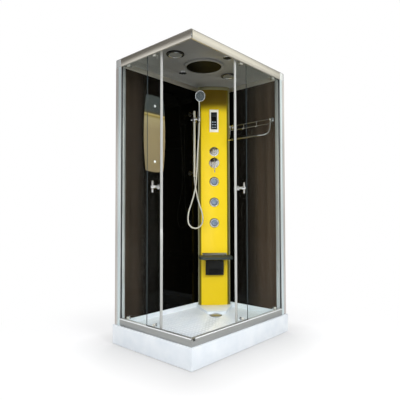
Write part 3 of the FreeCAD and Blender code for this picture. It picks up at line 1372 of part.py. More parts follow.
def make_towel_rack():
    """A bent towel bar between two wall posts, two thin upper rods and two ball hooks."""
    wall = worked(END_WALL)
    post = size("rack_rose_length") + size("rack_post_length")
    right = worked(f"{FRONT} + rail_depth + post_return + rack_post_gap")
    left = worked(f"{FACE_Y} - column_half * {HALF_ROOT} - rack_column_gap")
    height = size("rack_height")
    reach, drop, bend = size("rack_reach"), size("rack_drop"), size("rack_bend")
    bar = size("rack_bar")
    root, shoulder, splay = size("rack_root"), size("rack_shoulder"), size("rack_splay")
    elbow, elbow_rise = size("rack_elbow"), size("rack_elbow_rise")
    v = FreeCAD.Vector
    toward = v(-1, 0, 0)
    near = wall - post + root
    far = wall - reach
    low = height - drop
    points = [v(near, right, height), v(near - root, right, height - drop * 0.42),
              v(near - shoulder, right + splay, low + elbow_rise), v(far + elbow, right + elbow, low + root),
              v(far, right + bend, low), v(far, right + bend * 2.4, low - 1),
              v(far, left - bend * 2.4, low - 1),
              v(far, left - bend, low), v(far + elbow, left - elbow, low + root),
              v(near - shoulder, left - splay, low + elbow_rise), v(near - root, left, height - drop * 0.42),
              v(near, left, height)]
    tube, length, radii = rounded_tube(points, bar)
    print("towel bar length", round(length), "radii", [round(r) for r in radii])
    shape = tube
    for y in (right, left):
        rose = Part.makeCylinder(size("rack_rose"), size("rack_rose_length"), v(wall, y, height), toward)
        stem = Part.makeCylinder(size("rack_post"), post, v(wall, y, height), toward)
        knob = Part.makeSphere(size("rack_post") + 3, v(wall - post, y, height))
        shape = shape.fuse([rose, stem, knob])
    rod_x = wall - post
    upper = Part.makeCylinder(size("rack_rod"), left - right, v(rod_x, right, height), v(0, 1, 0))
    # a second rod a little lower, between the arms of the bar
    lower_x = near - root * size("rack_rod_drop") / (drop * 0.42)
    lower = Part.makeCylinder(size("rack_rod"), left - right,
                              v(lower_x, right, height - size("rack_rod_drop")),
                              v(0, 1, 0))
    shape = shape.fuse([upper, lower])
    for share in (0.32, 0.64):
        y = right + (left - right) * share
        down = Part.makeCylinder(size("rack_rod"), size("hook_drop"), v(rod_x, y, height), v(0, 0, -1))
        out = Part.makeCylinder(size("rack_rod"), size("hook_reach"),
                                v(rod_x, y, height - size("hook_drop")), toward)
        tip = Part.makeSphere(size("hook_ball"), v(rod_x - size("hook_reach"), y, height - size("hook_drop")))
        shape = shape.fuse([down, out, tip])
    shape_node("towel_rack", shape.removeSplitter())


make_tray()
make_tray_frame()
make_drain()
make_rails()
make_cleats()
make_posts()
make_walls()
make_fixed_panes()
make_door("front", True)
make_door("side", False)
make_roof()
make_ceiling_fittings()
make_column_panel()
make_column_frame()
make_control_panel()
make_valves()
make_jets()
make_seat()
make_steam()
make_riser()
make_handset()
make_hose()
make_mirror()
make_towel_rack()

doc.removeObject(probe.Name)
doc.recompute()

for thing in doc.Objects:
    if "Invalid" in thing.State or "Error" in thing.State:
        raise SystemExit(f"{thing.Name} ({thing.Label}) did not compute: {thing.State}")
for thing in NODES:
    if thing.Shape.isNull() or not thing.Shape.isValid():
        raise SystemExit(f"{thing.Label} has no valid shape")

os.makedirs("parts", exist_ok=True)
for thing in NODES:
    thing.Shape.exportStep(f"parts/{thing.Label}.step")
print(len(NODES), "sub-parts written")
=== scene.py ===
import bpy
import math
from mathutils import Matrix, Vector


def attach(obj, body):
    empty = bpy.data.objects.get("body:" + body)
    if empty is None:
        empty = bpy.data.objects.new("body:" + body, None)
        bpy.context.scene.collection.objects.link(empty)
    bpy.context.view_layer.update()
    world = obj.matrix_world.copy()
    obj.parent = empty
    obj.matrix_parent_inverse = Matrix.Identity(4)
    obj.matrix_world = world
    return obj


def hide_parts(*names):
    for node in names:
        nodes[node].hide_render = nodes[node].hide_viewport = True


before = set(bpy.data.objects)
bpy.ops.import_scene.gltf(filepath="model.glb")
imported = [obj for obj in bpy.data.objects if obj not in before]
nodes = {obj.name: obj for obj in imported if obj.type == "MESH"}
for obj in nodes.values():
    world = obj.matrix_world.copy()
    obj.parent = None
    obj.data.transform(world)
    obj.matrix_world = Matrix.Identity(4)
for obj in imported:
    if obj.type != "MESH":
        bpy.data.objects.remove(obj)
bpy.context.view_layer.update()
print("frame loaded:", len(nodes), "nodes")


# sizes are millimetres in the dictionaries, and mm() turns them to metres
def mm(value):
    if isinstance(value, (int, float)):
        return value / 1000
    return Vector([part / 1000 for part in value])


cabin = {
    "sideFace": -586, "frontFace": -411, "endFace": 590, "rearFace": 415,
    "ceiling": 2250, "basin": 130,
    "columnX": 453.549, "columnY": 278.549, "columnTurn": -45, "itemFace": -30.4,
    "riserX": 248, "riserY": 342, "riserRadius": 11.8,
}
columnFrame = Matrix.Translation(mm((cabin["columnX"], cabin["columnY"], 0))) @ Matrix.Rotation(
    math.radians(cabin["columnTurn"]), 4, "Z")


# camera first, then the hose, as its room is measured against the view
photoCamera = {"place": (-2471.75, -2199.76, 1006.57), "heading": 42.271, "tilt": 2.025, "roll": -0.119}


def placeCamera():
    heading, tilt = math.radians(photoCamera["heading"]), math.radians(photoCamera["tilt"])
    ahead = Vector((math.cos(tilt) * math.cos(heading), math.cos(tilt) * math.sin(heading), math.sin(tilt)))
    right = Vector((math.sin(heading), -math.cos(heading), 0))
    up = right.cross(ahead)
    turn = Matrix((right, up, -ahead)).transposed() @ Matrix.Rotation(math.radians(photoCamera["roll"]), 3,
                                                                      "Z")
    lens = bpy.data.cameras.new("photoCamera")
    lens.lens = 36
    lens.sensor_width = 36
    lens.clip_end = 50
    camera = bpy.data.objects.new("photoCamera", lens)
    bpy.context.collection.objects.link(camera)
    camera.matrix_world = Matrix.Translation(mm(photoCamera["place"])) @ turn.to_4x4()
    bpy.context.scene.camera = camera


placeCamera()
print("camera placed")


def linearColour(hexCode):
    channels = [int(hexCode[i:i + 2], 16) / 255 for i in (1, 3, 5)]
    linear = [c / 12.92 if c <= 0.04045 else ((c + 0.055) / 1.055) ** 2.4 for c in channels]
    return (*linear, 1.0)


# adds one node: settings are sockets or properties, links are sources for its sockets
def addNode(tree, kind, settings=None, links=None):
    node = tree.nodes.new("ShaderNode" + kind)
    for name, value in (settings or {}).items():
        if isinstance(name, int) or name in node.inputs:
            node.inputs[name].default_value = value
        else:
            setattr(node, name, value)
    for name, source in (links or {}).items():
        tree.links.new(source, node.inputs[name])
    return node


def startMaterial(name, surface):
    material = bpy.data.materials.new(name)
    material.use_nodes = True
    tree = material.node_tree
    tree.nodes.clear()
    shader = addNode(tree, "BsdfPrincipled", surface)
    addNode(tree, "OutputMaterial", links={"Surface": shader.outputs[0]})
    coords = addNode(tree, "TexCoord").outputs["Object"]
    return material, tree, shader, coords


# noise on the object's coordinates, drawn out along an axis where a stretch is given
def addNoise(tree, coords, scale, detail=2.0, stretch=None):
    if stretch:
        coords = addNode(tree, "Mapping", {"Scale": stretch}, {"Vector": coords}).outputs[0]
    return addNode(tree, "TexNoise", {"Scale": scale, "Detail": detail}, {"Vector": coords}).outputs["Fac"]


# the body colour wanders between two shades
def varyColour(tree, shader, source, first, second, ends=(0.0, 1.0)):
    tone = addNode(tree, "ValToRGB", links={"Fac": source})
    for element, position, shade in zip(tone.color_ramp.elements, ends, (first, second)):
        element.position = position
        element.color = linearColour(shade)
    tree.links.new(tone.outputs["Color"], shader.inputs["Base Color"])


def varyRoughness(tree, shader, source, low, high):
    gloss = addNode(tree, "MapRange", {"To Min": low, "To Max": high}, {"Value": source})
    tree.links.new(gloss.outputs["Result"], shader.inputs["Roughness"])


def raiseBumps(tree, shader, source, strength, distance):
    bump = addNode(tree, "Bump", {"Strength": strength, "Distance": distance}, {"Height": source})
    tree.links.new(bump.outputs["Normal"], shader.inputs["Normal"])


# cast sanitary acrylic: deep gloss, very slightly wavy, cool white
castAcrylic, tree, shader, coords = startMaterial("castSanitaryAcrylic", {
    "Base Color": linearColour("#e4eaf0"), "Roughness": 0.2, "IOR": 1.49, "Specular IOR Level": 0.35})
ripple = addNoise(tree, coords, 9.0)
varyColour(tree, shader, ripple, "#dfe6ed", "#e9eef3", (0.3, 0.7))
peel = addNoise(tree, coords, 240.0, 1.0)  # 4 mm orange peel
raiseBumps(tree, shader, peel, 0.05, 0.0004)

# satin anodised extrusion, pale champagne: soft sheen with die lines along the length
champagneAluminium, tree, shader, coords = startMaterial("anodisedChampagneAluminium", {
    "Base Color": linearColour("#e2ddd2"), "Metallic": 0.9, "Roughness": 0.3})
lines = addNoise(tree, coords, 1.0, 3.0, (3.0, 3.0, 420.0))  # 2.4 mm die lines
varyColour(tree, shader, lines, "#dbd5c9", "#eae6dc", (0.25, 0.75))
varyRoughness(tree, shader, lines, 0.25, 0.35)
raiseBumps(tree, shader, lines, 0.12, 0.0002)

# the sill rails: the same extrusion in a neutral satin grey, scuffed a little by feet
sillAluminium, tree, shader, coords = startMaterial("anodisedGreyAluminium", {
    "Base Color": linearColour("#a9aaa8"), "Metallic": 0.9, "Roughness": 0.34})
lines = addNoise(tree, coords, 1.0, 3.0, (3.0, 3.0, 420.0))
varyColour(tree, shader, lines, "#a0a19f", "#b2b4b3", (0.25, 0.75))
scuffs = addNoise(tree, coords, 14.0, 5.0)
varyRoughness(tree, shader, scuffs, 0.28, 0.42)
raiseBumps(tree, shader, lines, 0.12, 0.0002)

# bright anodised extrusion for upright profiles: die lines run up the length
brightAluminium, tree, shader, coords = startMaterial("anodisedBrightAluminium", {
    "Base Color": linearColour("#dde0df"), "Metallic": 0.55, "Roughness": 0.26})
lines = addNoise(tree, coords, 1.0, 3.0, (420.0, 420.0, 2.0))
varyColour(tree, shader, lines, "#d0d4d4", "#e8eaea")
varyRoughness(tree, shader, lines, 0.2, 0.3)

# the post's outer edge: the post aluminium in a darker warm grey, painted shade
postShadeAluminium, tree, shader, coords = startMaterial("postAluminiumPaintedShade", {
    "Base Color": linearColour("#c0b9b4"), "Metallic": 0.55, "Roughness": 0.3})
lines = addNoise(tree, coords, 1.0, 2.0, (300.0, 300.0, 2.0))
varyColour(tree, shader, lines, "#b7afaa", "#cac4bf")

# pale blue-green band beside the glass: the post aluminium tinted as a painted reflection
postReflectionAluminium, tree, shader, coords = startMaterial("postAluminiumPaintedReflection", {
    "Base Color": linearColour("#ccdbdd"), "Metallic": 0.5, "Roughness": 0.3})
lines = addNoise(tree, coords, 1.0, 2.0, (300.0, 300.0, 2.0))
varyColour(tree, shader, lines, "#c2d3d6", "#dae5e6")

# toughened float glass with a low-reflection coat: nearly clear, a thin warm film of dried water
clearGlass, tree, shader, coords = startMaterial("toughenedFloatGlass", {
    "Base Color": linearColour("#fafcfb"), "Roughness": 0.0, "IOR": 1.04, "Transmission Weight": 1.0})
spots = addNoise(tree, coords, 7.0, 4.0)
amount = addNode(tree, "MapRange", {"To Min": 0.002, "To Max": 0.008}, {"Value": spots})
film = addNode(tree, "BsdfDiffuse", {"Color": linearColour("#857a68")})
filmed = addNode(tree, "MixShader",
                 links={0: amount.outputs["Result"], 1: shader.outputs[0], 2: film.outputs[0]})
seen = addNode(tree, "LightPath")
soft = addNode(tree, "Math", {"operation": "MAXIMUM"},
               {0: seen.outputs["Is Shadow Ray"], 1: seen.outputs["Is Diffuse Ray"]})
passing = addNode(tree, "BsdfTransparent", {"Color": linearColour("#fafcfb")})
both = addNode(tree, "MixShader", links={0: soft.outputs[0], 1: filmed.outputs[0], 2: passing.outputs[0]})
tree.links.new(both.outputs[0], tree.nodes["Material Output"].inputs["Surface"])

# back-painted glass: black under a hard, even gloss, with a painted brown reflection in drawn-out streaks
# beside the wall posts
blackGlass, tree, shader, coords = startMaterial("backPaintedGlass", {
    "Base Color": linearColour("#030302"), "Roughness": 0.05, "IOR": 1.5, "Specular IOR Level": 0.06})
film = addNoise(tree, coords, 5.0, 3.0)
varyRoughness(tree, shader, film, 0.03, 0.08)
# painted reflection: the black turns brown towards the wall posts, broken into drawn-out streaks
along = addNode(tree, "SeparateXYZ", {}, {"Vector": coords})
rear = addNode(tree, "MapRange", {"From Min": -0.3, "From Max": -0.59, "To Max": 0.8},
               {"Value": along.outputs["X"]})
end = addNode(tree, "MapRange", {"From Min": -0.02, "From Max": -0.41, "To Max": 0.8},
              {"Value": along.outputs["Y"]})
paintedReflection = addNode(tree, "Math", {"operation": "MAXIMUM"},
                {0: rear.outputs["Result"], 1: end.outputs["Result"]})
reflectionStreaks = addNoise(tree, coords, 1.0, 2.0, (14.0, 14.0, 0.4))
uneven = addNode(tree, "MapRange", {"From Min": 0.3, "From Max": 0.7, "To Min": 0.5, "To Max": 1.2},
                 {"Value": reflectionStreaks})
paintedReflection = addNode(tree, "Math", {"operation": "MULTIPLY"}, {0: paintedReflection.outputs[0], 1: uneven.outputs["Result"]})
tone = addNode(tree, "Mix", {"data_type": "RGBA", 6: linearColour("#030302"), 7: linearColour("#625143")},
               {0: paintedReflection.outputs[0]})
tree.links.new(tone.outputs[2], shader.inputs["Base Color"])

# the pane's arrised edge: light caught inside the glass leaves it dark and blue-grey
glassEdge, tree, shader, coords = startMaterial("polishedGlassEdge", {
    "Base Color": linearColour("#2c363b"), "Roughness": 0.25, "IOR": 1.5})
ground = addNoise(tree, coords, 400.0)
varyColour(tree, shader, ground, "#262f34", "#364247")
raiseBumps(tree, shader, ground, 0.1, 0.0002)

# thermoformed acrylic for the roof: warm grey, softly glossy, a little uneven from the mould
formedAcrylic, tree, shader, coords = startMaterial("thermoformedGreyAcrylic", {
    "Base Color": linearColour("#8d8c89"), "Roughness": 0.3, "IOR": 1.49})
cloud = addNoise(tree, coords, 4.0, 3.0)
varyColour(tree, shader, cloud, "#868582", "#959490")
peel = addNoise(tree, coords, 300.0)
raiseBumps(tree, shader, peel, 0.06, 0.0004)

# polished chrome plate: mirror bright, with a thin dried-water film
polishedChrome, tree, shader, coords = startMaterial("polishedChromePlate", {
    "Base Color": linearColour("#e9eaec"), "Metallic": 1.0, "Roughness": 0.07})
film = addNoise(tree, coords, 60.0, 4.0)
varyRoughness(tree, shader, film, 0.04, 0.12)

# yellow cast acrylic panel: saturated body colour under a clear gloss, with painted shade on its rolled
# edges and a painted shadow along the head, under the ceiling
yellowAcrylic, tree, shader, coords = startMaterial("castYellowAcrylic", {
    "Base Color": linearColour("#f2cf14"), "Roughness": 0.3, "IOR": 1.49, "Specular IOR Level": 0.35})
cloud = addNoise(tree, coords, 3.0)
tone = addNode(tree, "ValToRGB", links={"Fac": cloud})
tone.color_ramp.elements[0].color = linearColour("#eec80f")
tone.color_ramp.elements[1].color = linearColour("#f6d61c")
place = addNode(tree, "VectorMath",
                {"operation": "SUBTRACT", 1: mm((cabin["columnX"], cabin["columnY"], 0))},
                {0: coords})
aside = addNode(tree, "VectorMath", {"operation": "DOT_PRODUCT", 1: (math.sqrt(0.5), -math.sqrt(0.5), 0.0)},
                {0: place.outputs[0]})
width = addNode(tree, "Math", {"operation": "ABSOLUTE"}, {0: aside.outputs["Value"]})
# painted shade on the rolled edges, where the panel turns away from the light
rolledEdgeShade = addNode(tree, "MapRange",
                 {"interpolation_type": "SMOOTHSTEP", "From Min": 0.119, "From Max": 0.127},
                 {"Value": width.outputs[0]})
rise = addNode(tree, "SeparateXYZ", links={0: coords}).outputs["Z"]
# painted shadow of the ceiling along the head
head = addNode(tree, "MapRange",
               {"interpolation_type": "SMOOTHSTEP", "From Min": 1.965, "From Max": 2.075}, {"Value": rise})
withHeadShadow = addNode(tree, "Mix", {"data_type": "RGBA", 7: linearColour("#6a5405")},
                 {0: head.outputs[0], 6: tone.outputs["Color"]})
withEdgeShade = addNode(tree, "Mix", {"data_type": "RGBA", 7: linearColour("#776912")},
                {0: rolledEdgeShade.outputs[0], 6: withHeadShadow.outputs[2]})
tree.links.new(withEdgeShade.outputs[2], shader.inputs["Base Color"])
peel = addNoise(tree, coords, 260.0)
raiseBumps(tree, shader, peel, 0.04, 0.0004)

# the column's edge trims: old-gold satin anodising
goldAluminium, tree, shader, coords = startMaterial("anodisedOldGoldAluminium", {
    "Base Color": linearColour("#868060"), "Metallic": 0.3, "Roughness": 0.42})
lines = addNoise(tree, coords, 1.0, 3.0, (420.0, 420.0, 2.0))
varyColour(tree, shader, lines, "#7b7655", "#938e6c")
varyRoughness(tree, shader, lines, 0.36, 0.48)

# door edge strips: extruded grey-white PVC, drawn lines up its length
stripVinyl, tree, shader, coords = startMaterial("extrudedGreyWhitePvc", {
    "Base Color": linearColour("#bdbebb"), "Roughness": 0.34, "IOR": 1.53})
lines = addNoise(tree, coords, 1.0, 3.0, (500.0, 500.0, 3.0))
varyColour(tree, shader, lines, "#b4b5b2", "#c6c7c4")
varyRoughness(tree, shader, lines, 0.28, 0.42)

# bright white vinyl lip on the sill rails, carried over the rail's top edge as a painted highlight; also
# the mirror studs' painted highlight
whiteVinylHighlight, tree, shader, coords = startMaterial("whiteVinylPaintedHighlight", {
    "Base Color": linearColour("#eef1f2"), "Roughness": 0.3, "IOR": 1.5})
grain = addNoise(tree, coords, 300.0)
varyColour(tree, shader, grain, "#e6eaec", "#f4f6f7")

# extruded and moulded white ABS: satin, slightly warm
whiteAbs, tree, shader, coords = startMaterial("mouldedWhiteAbs", {
    "Base Color": linearColour("#efe9df"), "Roughness": 0.32, "IOR": 1.53})
grain = addNoise(tree, coords, 900.0)  # 1 mm mould grain
raiseBumps(tree, shader, grain, 0.08, 0.0002)
varyRoughness(tree, shader, grain, 0.27, 0.4)

# moulded nylon wheels and bushes: milky, dull
mouldedNylon, tree, shader, coords = startMaterial("mouldedNylon", {
    "Base Color": linearColour("#d9d8d1"), "Roughness": 0.45, "IOR": 1.53})
grain = addNoise(tree, coords, 700.0)
raiseBumps(tree, shader, grain, 0.1, 0.0002)

# seat: dark green-grey polypropylene with a leather-like mould grain
seatPlastic, tree, shader, coords = startMaterial("grainedDarkPolypropylene", {
    "Base Color": linearColour("#2b3432"), "Roughness": 0.5, "IOR": 1.49})
grain = addNode(tree, "TexVoronoi", {"Scale": 420.0}, {"Vector": coords})  # 2.4 mm pebbles
raiseBumps(tree, shader, grain.outputs["Distance"], 0.25, 0.0003)
varyRoughness(tree, shader, grain.outputs["Distance"], 0.42, 0.58)

# black moulded ABS: satin with a fine spark-eroded grain
blackAbs, tree, shader, coords = startMaterial("mouldedBlackAbs", {
    "Base Color": linearColour("#0f1111"), "Roughness": 0.4, "IOR": 1.53, "Specular IOR Level": 0.3})
grain = addNoise(tree, coords, 800.0)
raiseBumps(tree, shader, grain, 0.1, 0.0002)
varyRoughness(tree, shader, grain, 0.3, 0.44)

# polycarbonate window over the display: near black, glossy, blue in the depth
displayWindow, tree, shader, coords = startMaterial("smokedPolycarbonate", {
    "Base Color": linearColour("#0b0d0e"), "Roughness": 0.2, "IOR": 1.58, "Specular IOR Level": 0.15})
film = addNoise(tree, coords, 80.0)
varyRoughness(tree, shader, film, 0.06, 0.16)

# unlit liquid-crystal field under the window
liquidCrystal, tree, shader, coords = startMaterial("unlitLiquidCrystal", {
    "Base Color": linearColour("#20272c"), "Roughness": 0.3, "IOR": 1.5})
rows = addNode(tree, "TexWave", {"Scale": 160.0, "bands_direction": "Z"}, {"Vector": coords})  # 2 mm rows
varyColour(tree, shader, rows.outputs["Fac"], "#14191c", "#20272b")

# key caps: printed grey silicone-soft plastic
keyCap, tree, shader, coords = startMaterial("mouldedGreyKeyCap", {
    "Base Color": linearColour("#8d97a3"), "Roughness": 0.42, "IOR": 1.5})
grain = addNoise(tree, coords, 900.0)
raiseBumps(tree, shader, grain, 0.1, 0.0002)

# blue-grey silicone faces of jets and hand shower
jetSilicone, tree, shader, coords = startMaterial("mouldedBlueGreySilicone", {
    "Base Color": linearColour("#6f819c"), "Roughness": 0.34, "IOR": 1.43, "Coat Weight": 0.2})
grain = addNoise(tree, coords, 500.0)
varyColour(tree, shader, grain, "#64758f", "#7c8ea8")

# the hand shower's face: the same silicone, darker and greener
handsetSilicone, tree, shader, coords = startMaterial("mouldedSlateSilicone", {
    "Base Color": linearColour("#3b4a52"), "Roughness": 0.38, "IOR": 1.43})
grain = addNoise(tree, coords, 500.0)
varyColour(tree, shader, grain, "#334149", "#46565f")

# the riser rail: a brushed, warm satin tube on brackets of dark chrome
satinChrome, tree, shader, coords = startMaterial("brushedSatinChrome", {
    "Base Color": linearColour("#dedccf"), "Metallic": 0.55, "Roughness": 0.32})
level = addNode(tree, "VectorMath", {"operation": "MULTIPLY", 1: (1.0, 1.0, 0.0)}, {0: coords})
fromTube = addNode(tree, "VectorMath",
                   {"operation": "DISTANCE", 1: mm((cabin["riserX"], cabin["riserY"], 0))},
                   {0: level.outputs[0]})
bracket = addNode(tree, "MapRange",
                  {"From Min": mm(cabin["riserRadius"]), "From Max": mm(cabin["riserRadius"] + 1)},
                  {"Value": fromTube.outputs["Value"]})
tone = addNode(tree, "Mix", {"data_type": "RGBA", 6: linearColour("#dedccf"), 7: linearColour("#5d5f60")},
               {0: bracket.outputs["Result"]})
tree.links.new(tone.outputs[2], shader.inputs["Base Color"])
metal = addNode(tree, "MapRange", {"To Min": 0.55, "To Max": 1.0}, {"Value": bracket.outputs["Result"]})
tree.links.new(metal.outputs["Result"], shader.inputs["Metallic"])
lines = addNoise(tree, coords, 1.0, 3.0, (600.0, 600.0, 12.0))
varyRoughness(tree, shader, lines, 0.26, 0.4)
raiseBumps(tree, shader, lines, 0.08, 0.0001)

# cast brass: machined faces, dull gold with darker pits
castBrass, tree, shader, coords = startMaterial("castBrass", {
    "Base Color": linearColour("#b9924f"), "Metallic": 1.0, "Roughness": 0.38})
pits = addNoise(tree, coords, 260.0, 5.0)
varyColour(tree, shader, pits, "#94713a", "#c8a361")
raiseBumps(tree, shader, pits, 0.2, 0.0003)

# brushed stainless sheet: brush lines run level
brushedStainless, tree, shader, coords = startMaterial("brushedStainlessSheet", {
    "Base Color": linearColour("#b8babb"), "Metallic": 1.0, "Roughness": 0.3})
lines = addNoise(tree, coords, 1.0, 4.0, (8.0, 8.0, 700.0))
varyRoughness(tree, shader, lines, 0.22, 0.42)
raiseBumps(tree, shader, lines, 0.1, 0.0001)

# hot-dip galvanised steel: zinc spangle in 8 mm crystals
galvanisedSteel, tree, shader, coords = startMaterial("hotDipGalvanisedSteel", {
    "Base Color": linearColour("#a3a6a8"), "Metallic": 1.0, "Roughness": 0.45})
spangle = addNode(tree, "TexVoronoi", {"Scale": 120.0}, {"Vector": coords})
varyColour(tree, shader, spangle.outputs["Color"], "#8f9395", "#b7babb")

# grey polypropylene of the trap
greyPolypropylene, tree, shader, coords = startMaterial("mouldedGreyPolypropylene", {
    "Base Color": linearColour("#54585a"), "Roughness": 0.5, "IOR": 1.49})
grain = addNoise(tree, coords, 500.0)
raiseBumps(tree, shader, grain, 0.15, 0.0003)

# silvered mirror with a painted reflection: beige, with a gold band and then a blue-grey head; its gloss
# misted unevenly by steam
paintedReflectionMirror, tree, shader, coords = startMaterial("mirrorPaintedReflection", {
    "Base Color": linearColour("#a89c80"), "Metallic": 0.25, "Roughness": 0.22})
# painted reflection by height: beige below, the mirrored edge of the roof as a gold band, blue-grey above
rise = addNode(tree, "SeparateXYZ", links={0: coords}).outputs["Z"]
height = addNode(tree, "MapRange", {"From Min": 1.4, "From Max": 2.0}, {"Value": rise})
tone = addNode(tree, "ValToRGB", links={"Fac": height.outputs["Result"]})
for position, shade in ((0.55, "#a08f6a"), (0.71, "#b3a57a"), (0.745, "#93803a"), (0.765, "#c9b470"),
                        (0.785, "#514c36"), (0.82, "#484e4c")):
    tone.color_ramp.elements.new(position).color = linearColour(shade)
tone.color_ramp.elements[0].color = linearColour("#8d7d5b")
tone.color_ramp.elements[-1].color = linearColour("#4f5654")
tree.links.new(tone.outputs["Color"], shader.inputs["Base Color"])
mist = addNoise(tree, coords, 12.0, 3.0)
varyRoughness(tree, shader, mist, 0.14, 0.3)

# frosted polycarbonate lamp lens
frostedLens, tree, shader, coords = startMaterial("frostedPolycarbonate", {
    "Base Color": linearColour("#7d7e79"), "Roughness": 0.45, "IOR": 1.58, "Specular IOR Level": 0.3})
prisms = addNode(tree, "TexVoronoi", {"Scale": 260.0}, {"Vector": coords})  # 4 mm prisms
raiseBumps(tree, shader, prisms.outputs["Distance"], 0.5, 0.0006)

# extruded rubber gasket
gasketRubber, tree, shader, coords = startMaterial("extrudedGasketRubber", {
    "Base Color": linearColour("#2b2d2e"), "Roughness": 0.6, "IOR": 1.52})
grain = addNoise(tree, coords, 600.0)
raiseBumps(tree, shader, grain, 0.15, 0.0002)

# dark moulded centre panel of the ceiling: black-olive, its gloss dulled by steam
darkGloss, tree, shader, coords = startMaterial("mouldedDarkAcrylic", {
    "Base Color": linearColour("#0a0a05"), "Roughness": 0.45, "IOR": 1.49, "Specular IOR Level": 0.08})
film = addNoise(tree, coords, 7.0)
varyRoughness(tree, shader, film, 0.34, 0.46)
print("materials made:", len(bpy.data.materials))


def deselectAll():
    if bpy.context.object and bpy.context.object.mode != "OBJECT":
        bpy.ops.object.mode_set(mode="OBJECT")
    bpy.ops.object.select_all(action="DESELECT")


def pickOnly(*pieces):
    deselectAll()
    for piece in pieces:
        piece.select_set(True)
    bpy.context.view_layer.objects.active = pieces[0]


def editAll(piece):
    pickOnly(piece)
    bpy.ops.object.mode_set(mode="EDIT")
    bpy.ops.mesh.select_all(action="SELECT")


def settle(piece, place=None):
    if place is not None:
        piece.matrix_world = place @ piece.matrix_world
    pickOnly(piece)
    bpy.ops.object.transform_apply(location=True, rotation=True, scale=True)
    return piece


# a block between two corners
def startBlock(name, low, high):
    deselectAll()
    bpy.ops.mesh.primitive_cube_add(size=1, location=(mm(low) + mm(high)) / 2)
    block = bpy.context.object
    block.name = block.data.name = name
    block.scale = mm(high) - mm(low)
    return settle(block)


# turns local +Z to a direction, at a point
def facing(point, direction):
    turn = Vector(direction).to_track_quat("Z", "Y").to_matrix().to_4x4()
    return Matrix.Translation(mm(point)) @ turn


# a turned part: the outline is (radius, height) pairs drawn by extruding one vertex, then spun
def turned(name, outline, place, sides=48):
    deselectAll()
    bpy.ops.mesh.primitive_plane_add(size=0.002, location=(0, 0, 0))
    piece = bpy.context.object
    piece.name = piece.data.name = name
    bpy.ops.object.mode_set(mode="EDIT")
    bpy.ops.mesh.select_mode(type="VERT")
    bpy.ops.mesh.select_all(action="SELECT")
    bpy.ops.mesh.merge(type="CENTER")
    last = mm((outline[0][0], 0, outline[0][1]))
    bpy.ops.transform.translate(value=last)
    for radius, height in outline[1:]:
        point = mm((radius, 0, height))
        bpy.ops.mesh.extrude_region_move(TRANSFORM_OT_translate={"value": point - last})
        last = point
    bpy.ops.mesh.select_all(action="SELECT")
    bpy.ops.mesh.spin(steps=sides, angle=math.tau, center=(0, 0, 0), axis=(0, 0, 1))
    bpy.ops.mesh.select_all(action="SELECT")
    bpy.ops.mesh.remove_doubles(threshold=0.000005)
    bpy.ops.mesh.normals_make_consistent(inside=False)
    bpy.ops.object.mode_set(mode="OBJECT")
    return settle(piece, place)


def applyModifier(piece, kind, **settings):
    pickOnly(piece)
    modifier = piece.modifiers.new(kind.lower(), kind)
    for name, value in settings.items():
        setattr(modifier, name, value)
    bpy.ops.object.modifier_apply(modifier=modifier.name)


def soften(piece, width=1.0, segments=2, angle=35):
    if width:
        applyModifier(piece, "BEVEL", width=mm(width), segments=segments, limit_method="ANGLE",
                      angle_limit=math.radians(angle))
    pickOnly(piece)
    bpy.ops.object.shade_smooth_by_angle(angle=math.radians(40))
    return piece


# a copy of a CAD node whose edges get the real part's small radii
def softCopy(nodeName, name, width=1.0, segments=2, angle=35):
    copy = bpy.data.objects.new(name, nodes[nodeName].data.copy())
    copy.data.name = name
    copy.data.materials.clear()
    bpy.context.collection.objects.link(copy)
    editAll(copy)
    bpy.ops.mesh.remove_doubles(threshold=0.00001)
    bpy.ops.mesh.dissolve_limited(angle_limit=math.radians(0.4))
    bpy.ops.object.mode_set(mode="OBJECT")
    return soften(copy, width, segments, angle)


def joinPieces(name, pieces):
    pickOnly(*pieces)
    bpy.ops.object.join()
    joined = bpy.context.object
    joined.name = joined.data.name = name
    return joined


def fit(piece, finish, body="cabin", stands=()):
    piece.data.materials.clear()
    piece.data.materials.append(finish)
    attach(piece, body)
    if stands:
        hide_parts(*stands)
    return piece


# small pieces made one and fitted together
def fitJoined(name, pieces, finish, body="cabin", stands=(), width=0, segments=2):
    return fit(soften(joinPieces(name, pieces), width, segments), finish, body, stands)


# a softened copy of a node in its place
def dress(node, name, finish, width=1.0, segments=2, body="cabin"):
    return fit(softCopy(node, name, width, segments), finish, body, [node])


def paint(finish, *names):
    for name in names:
        for place in nodes[name].material_slots:
            place.material = finish


# the shower hose: one smooth line from the rail's outlet nut to the handset's nut
hose = {
    "diameter": 14, "length": 1572, "pitch": 3.6, "groove": 0.55, "sides": 16,
    "route": [(248, 342, 1355), (248, 342, 1302), (259, 335, 1242), (267, 326, 1172), (283, 313, 1096),
              (316, 302, 1010), (319, 300, 933), (288, 308, 888), (238, 320, 872), (187, 333, 888),
              (156, 340, 933), (159, 339, 1018), (197, 327, 1118), (234, 316, 1240), (249, 315, 1372),
              (252, 308, 1505), (250, 298, 1640), (252.243, 286.846, 1768), (252.243, 286.846, 1847)],
}


def hoseLine():
    curve = bpy.data.curves.new("hoseRoute", "CURVE")
    curve.dimensions = "3D"
    spline = curve.splines.new("NURBS")
    spline.points.add(len(hose["route"]) - 1)
    for point, place in zip(spline.points, hose["route"]):
        point.co = (*mm(place), 1)
    spline.order_u = 3
    spline.use_endpoint_u = True
    spline.resolution_u = 48
    route = bpy.data.objects.new("hoseRoute", curve)
    bpy.context.collection.objects.link(route)
    bpy.context.view_layer.update()
    line = bpy.data.meshes.new_from_object(route.evaluated_get(bpy.context.evaluated_depsgraph_get()))
    points = [vertex.co.copy() for vertex in line.vertices]
    bpy.data.meshes.remove(line)
    bpy.data.objects.remove(route)
    return points


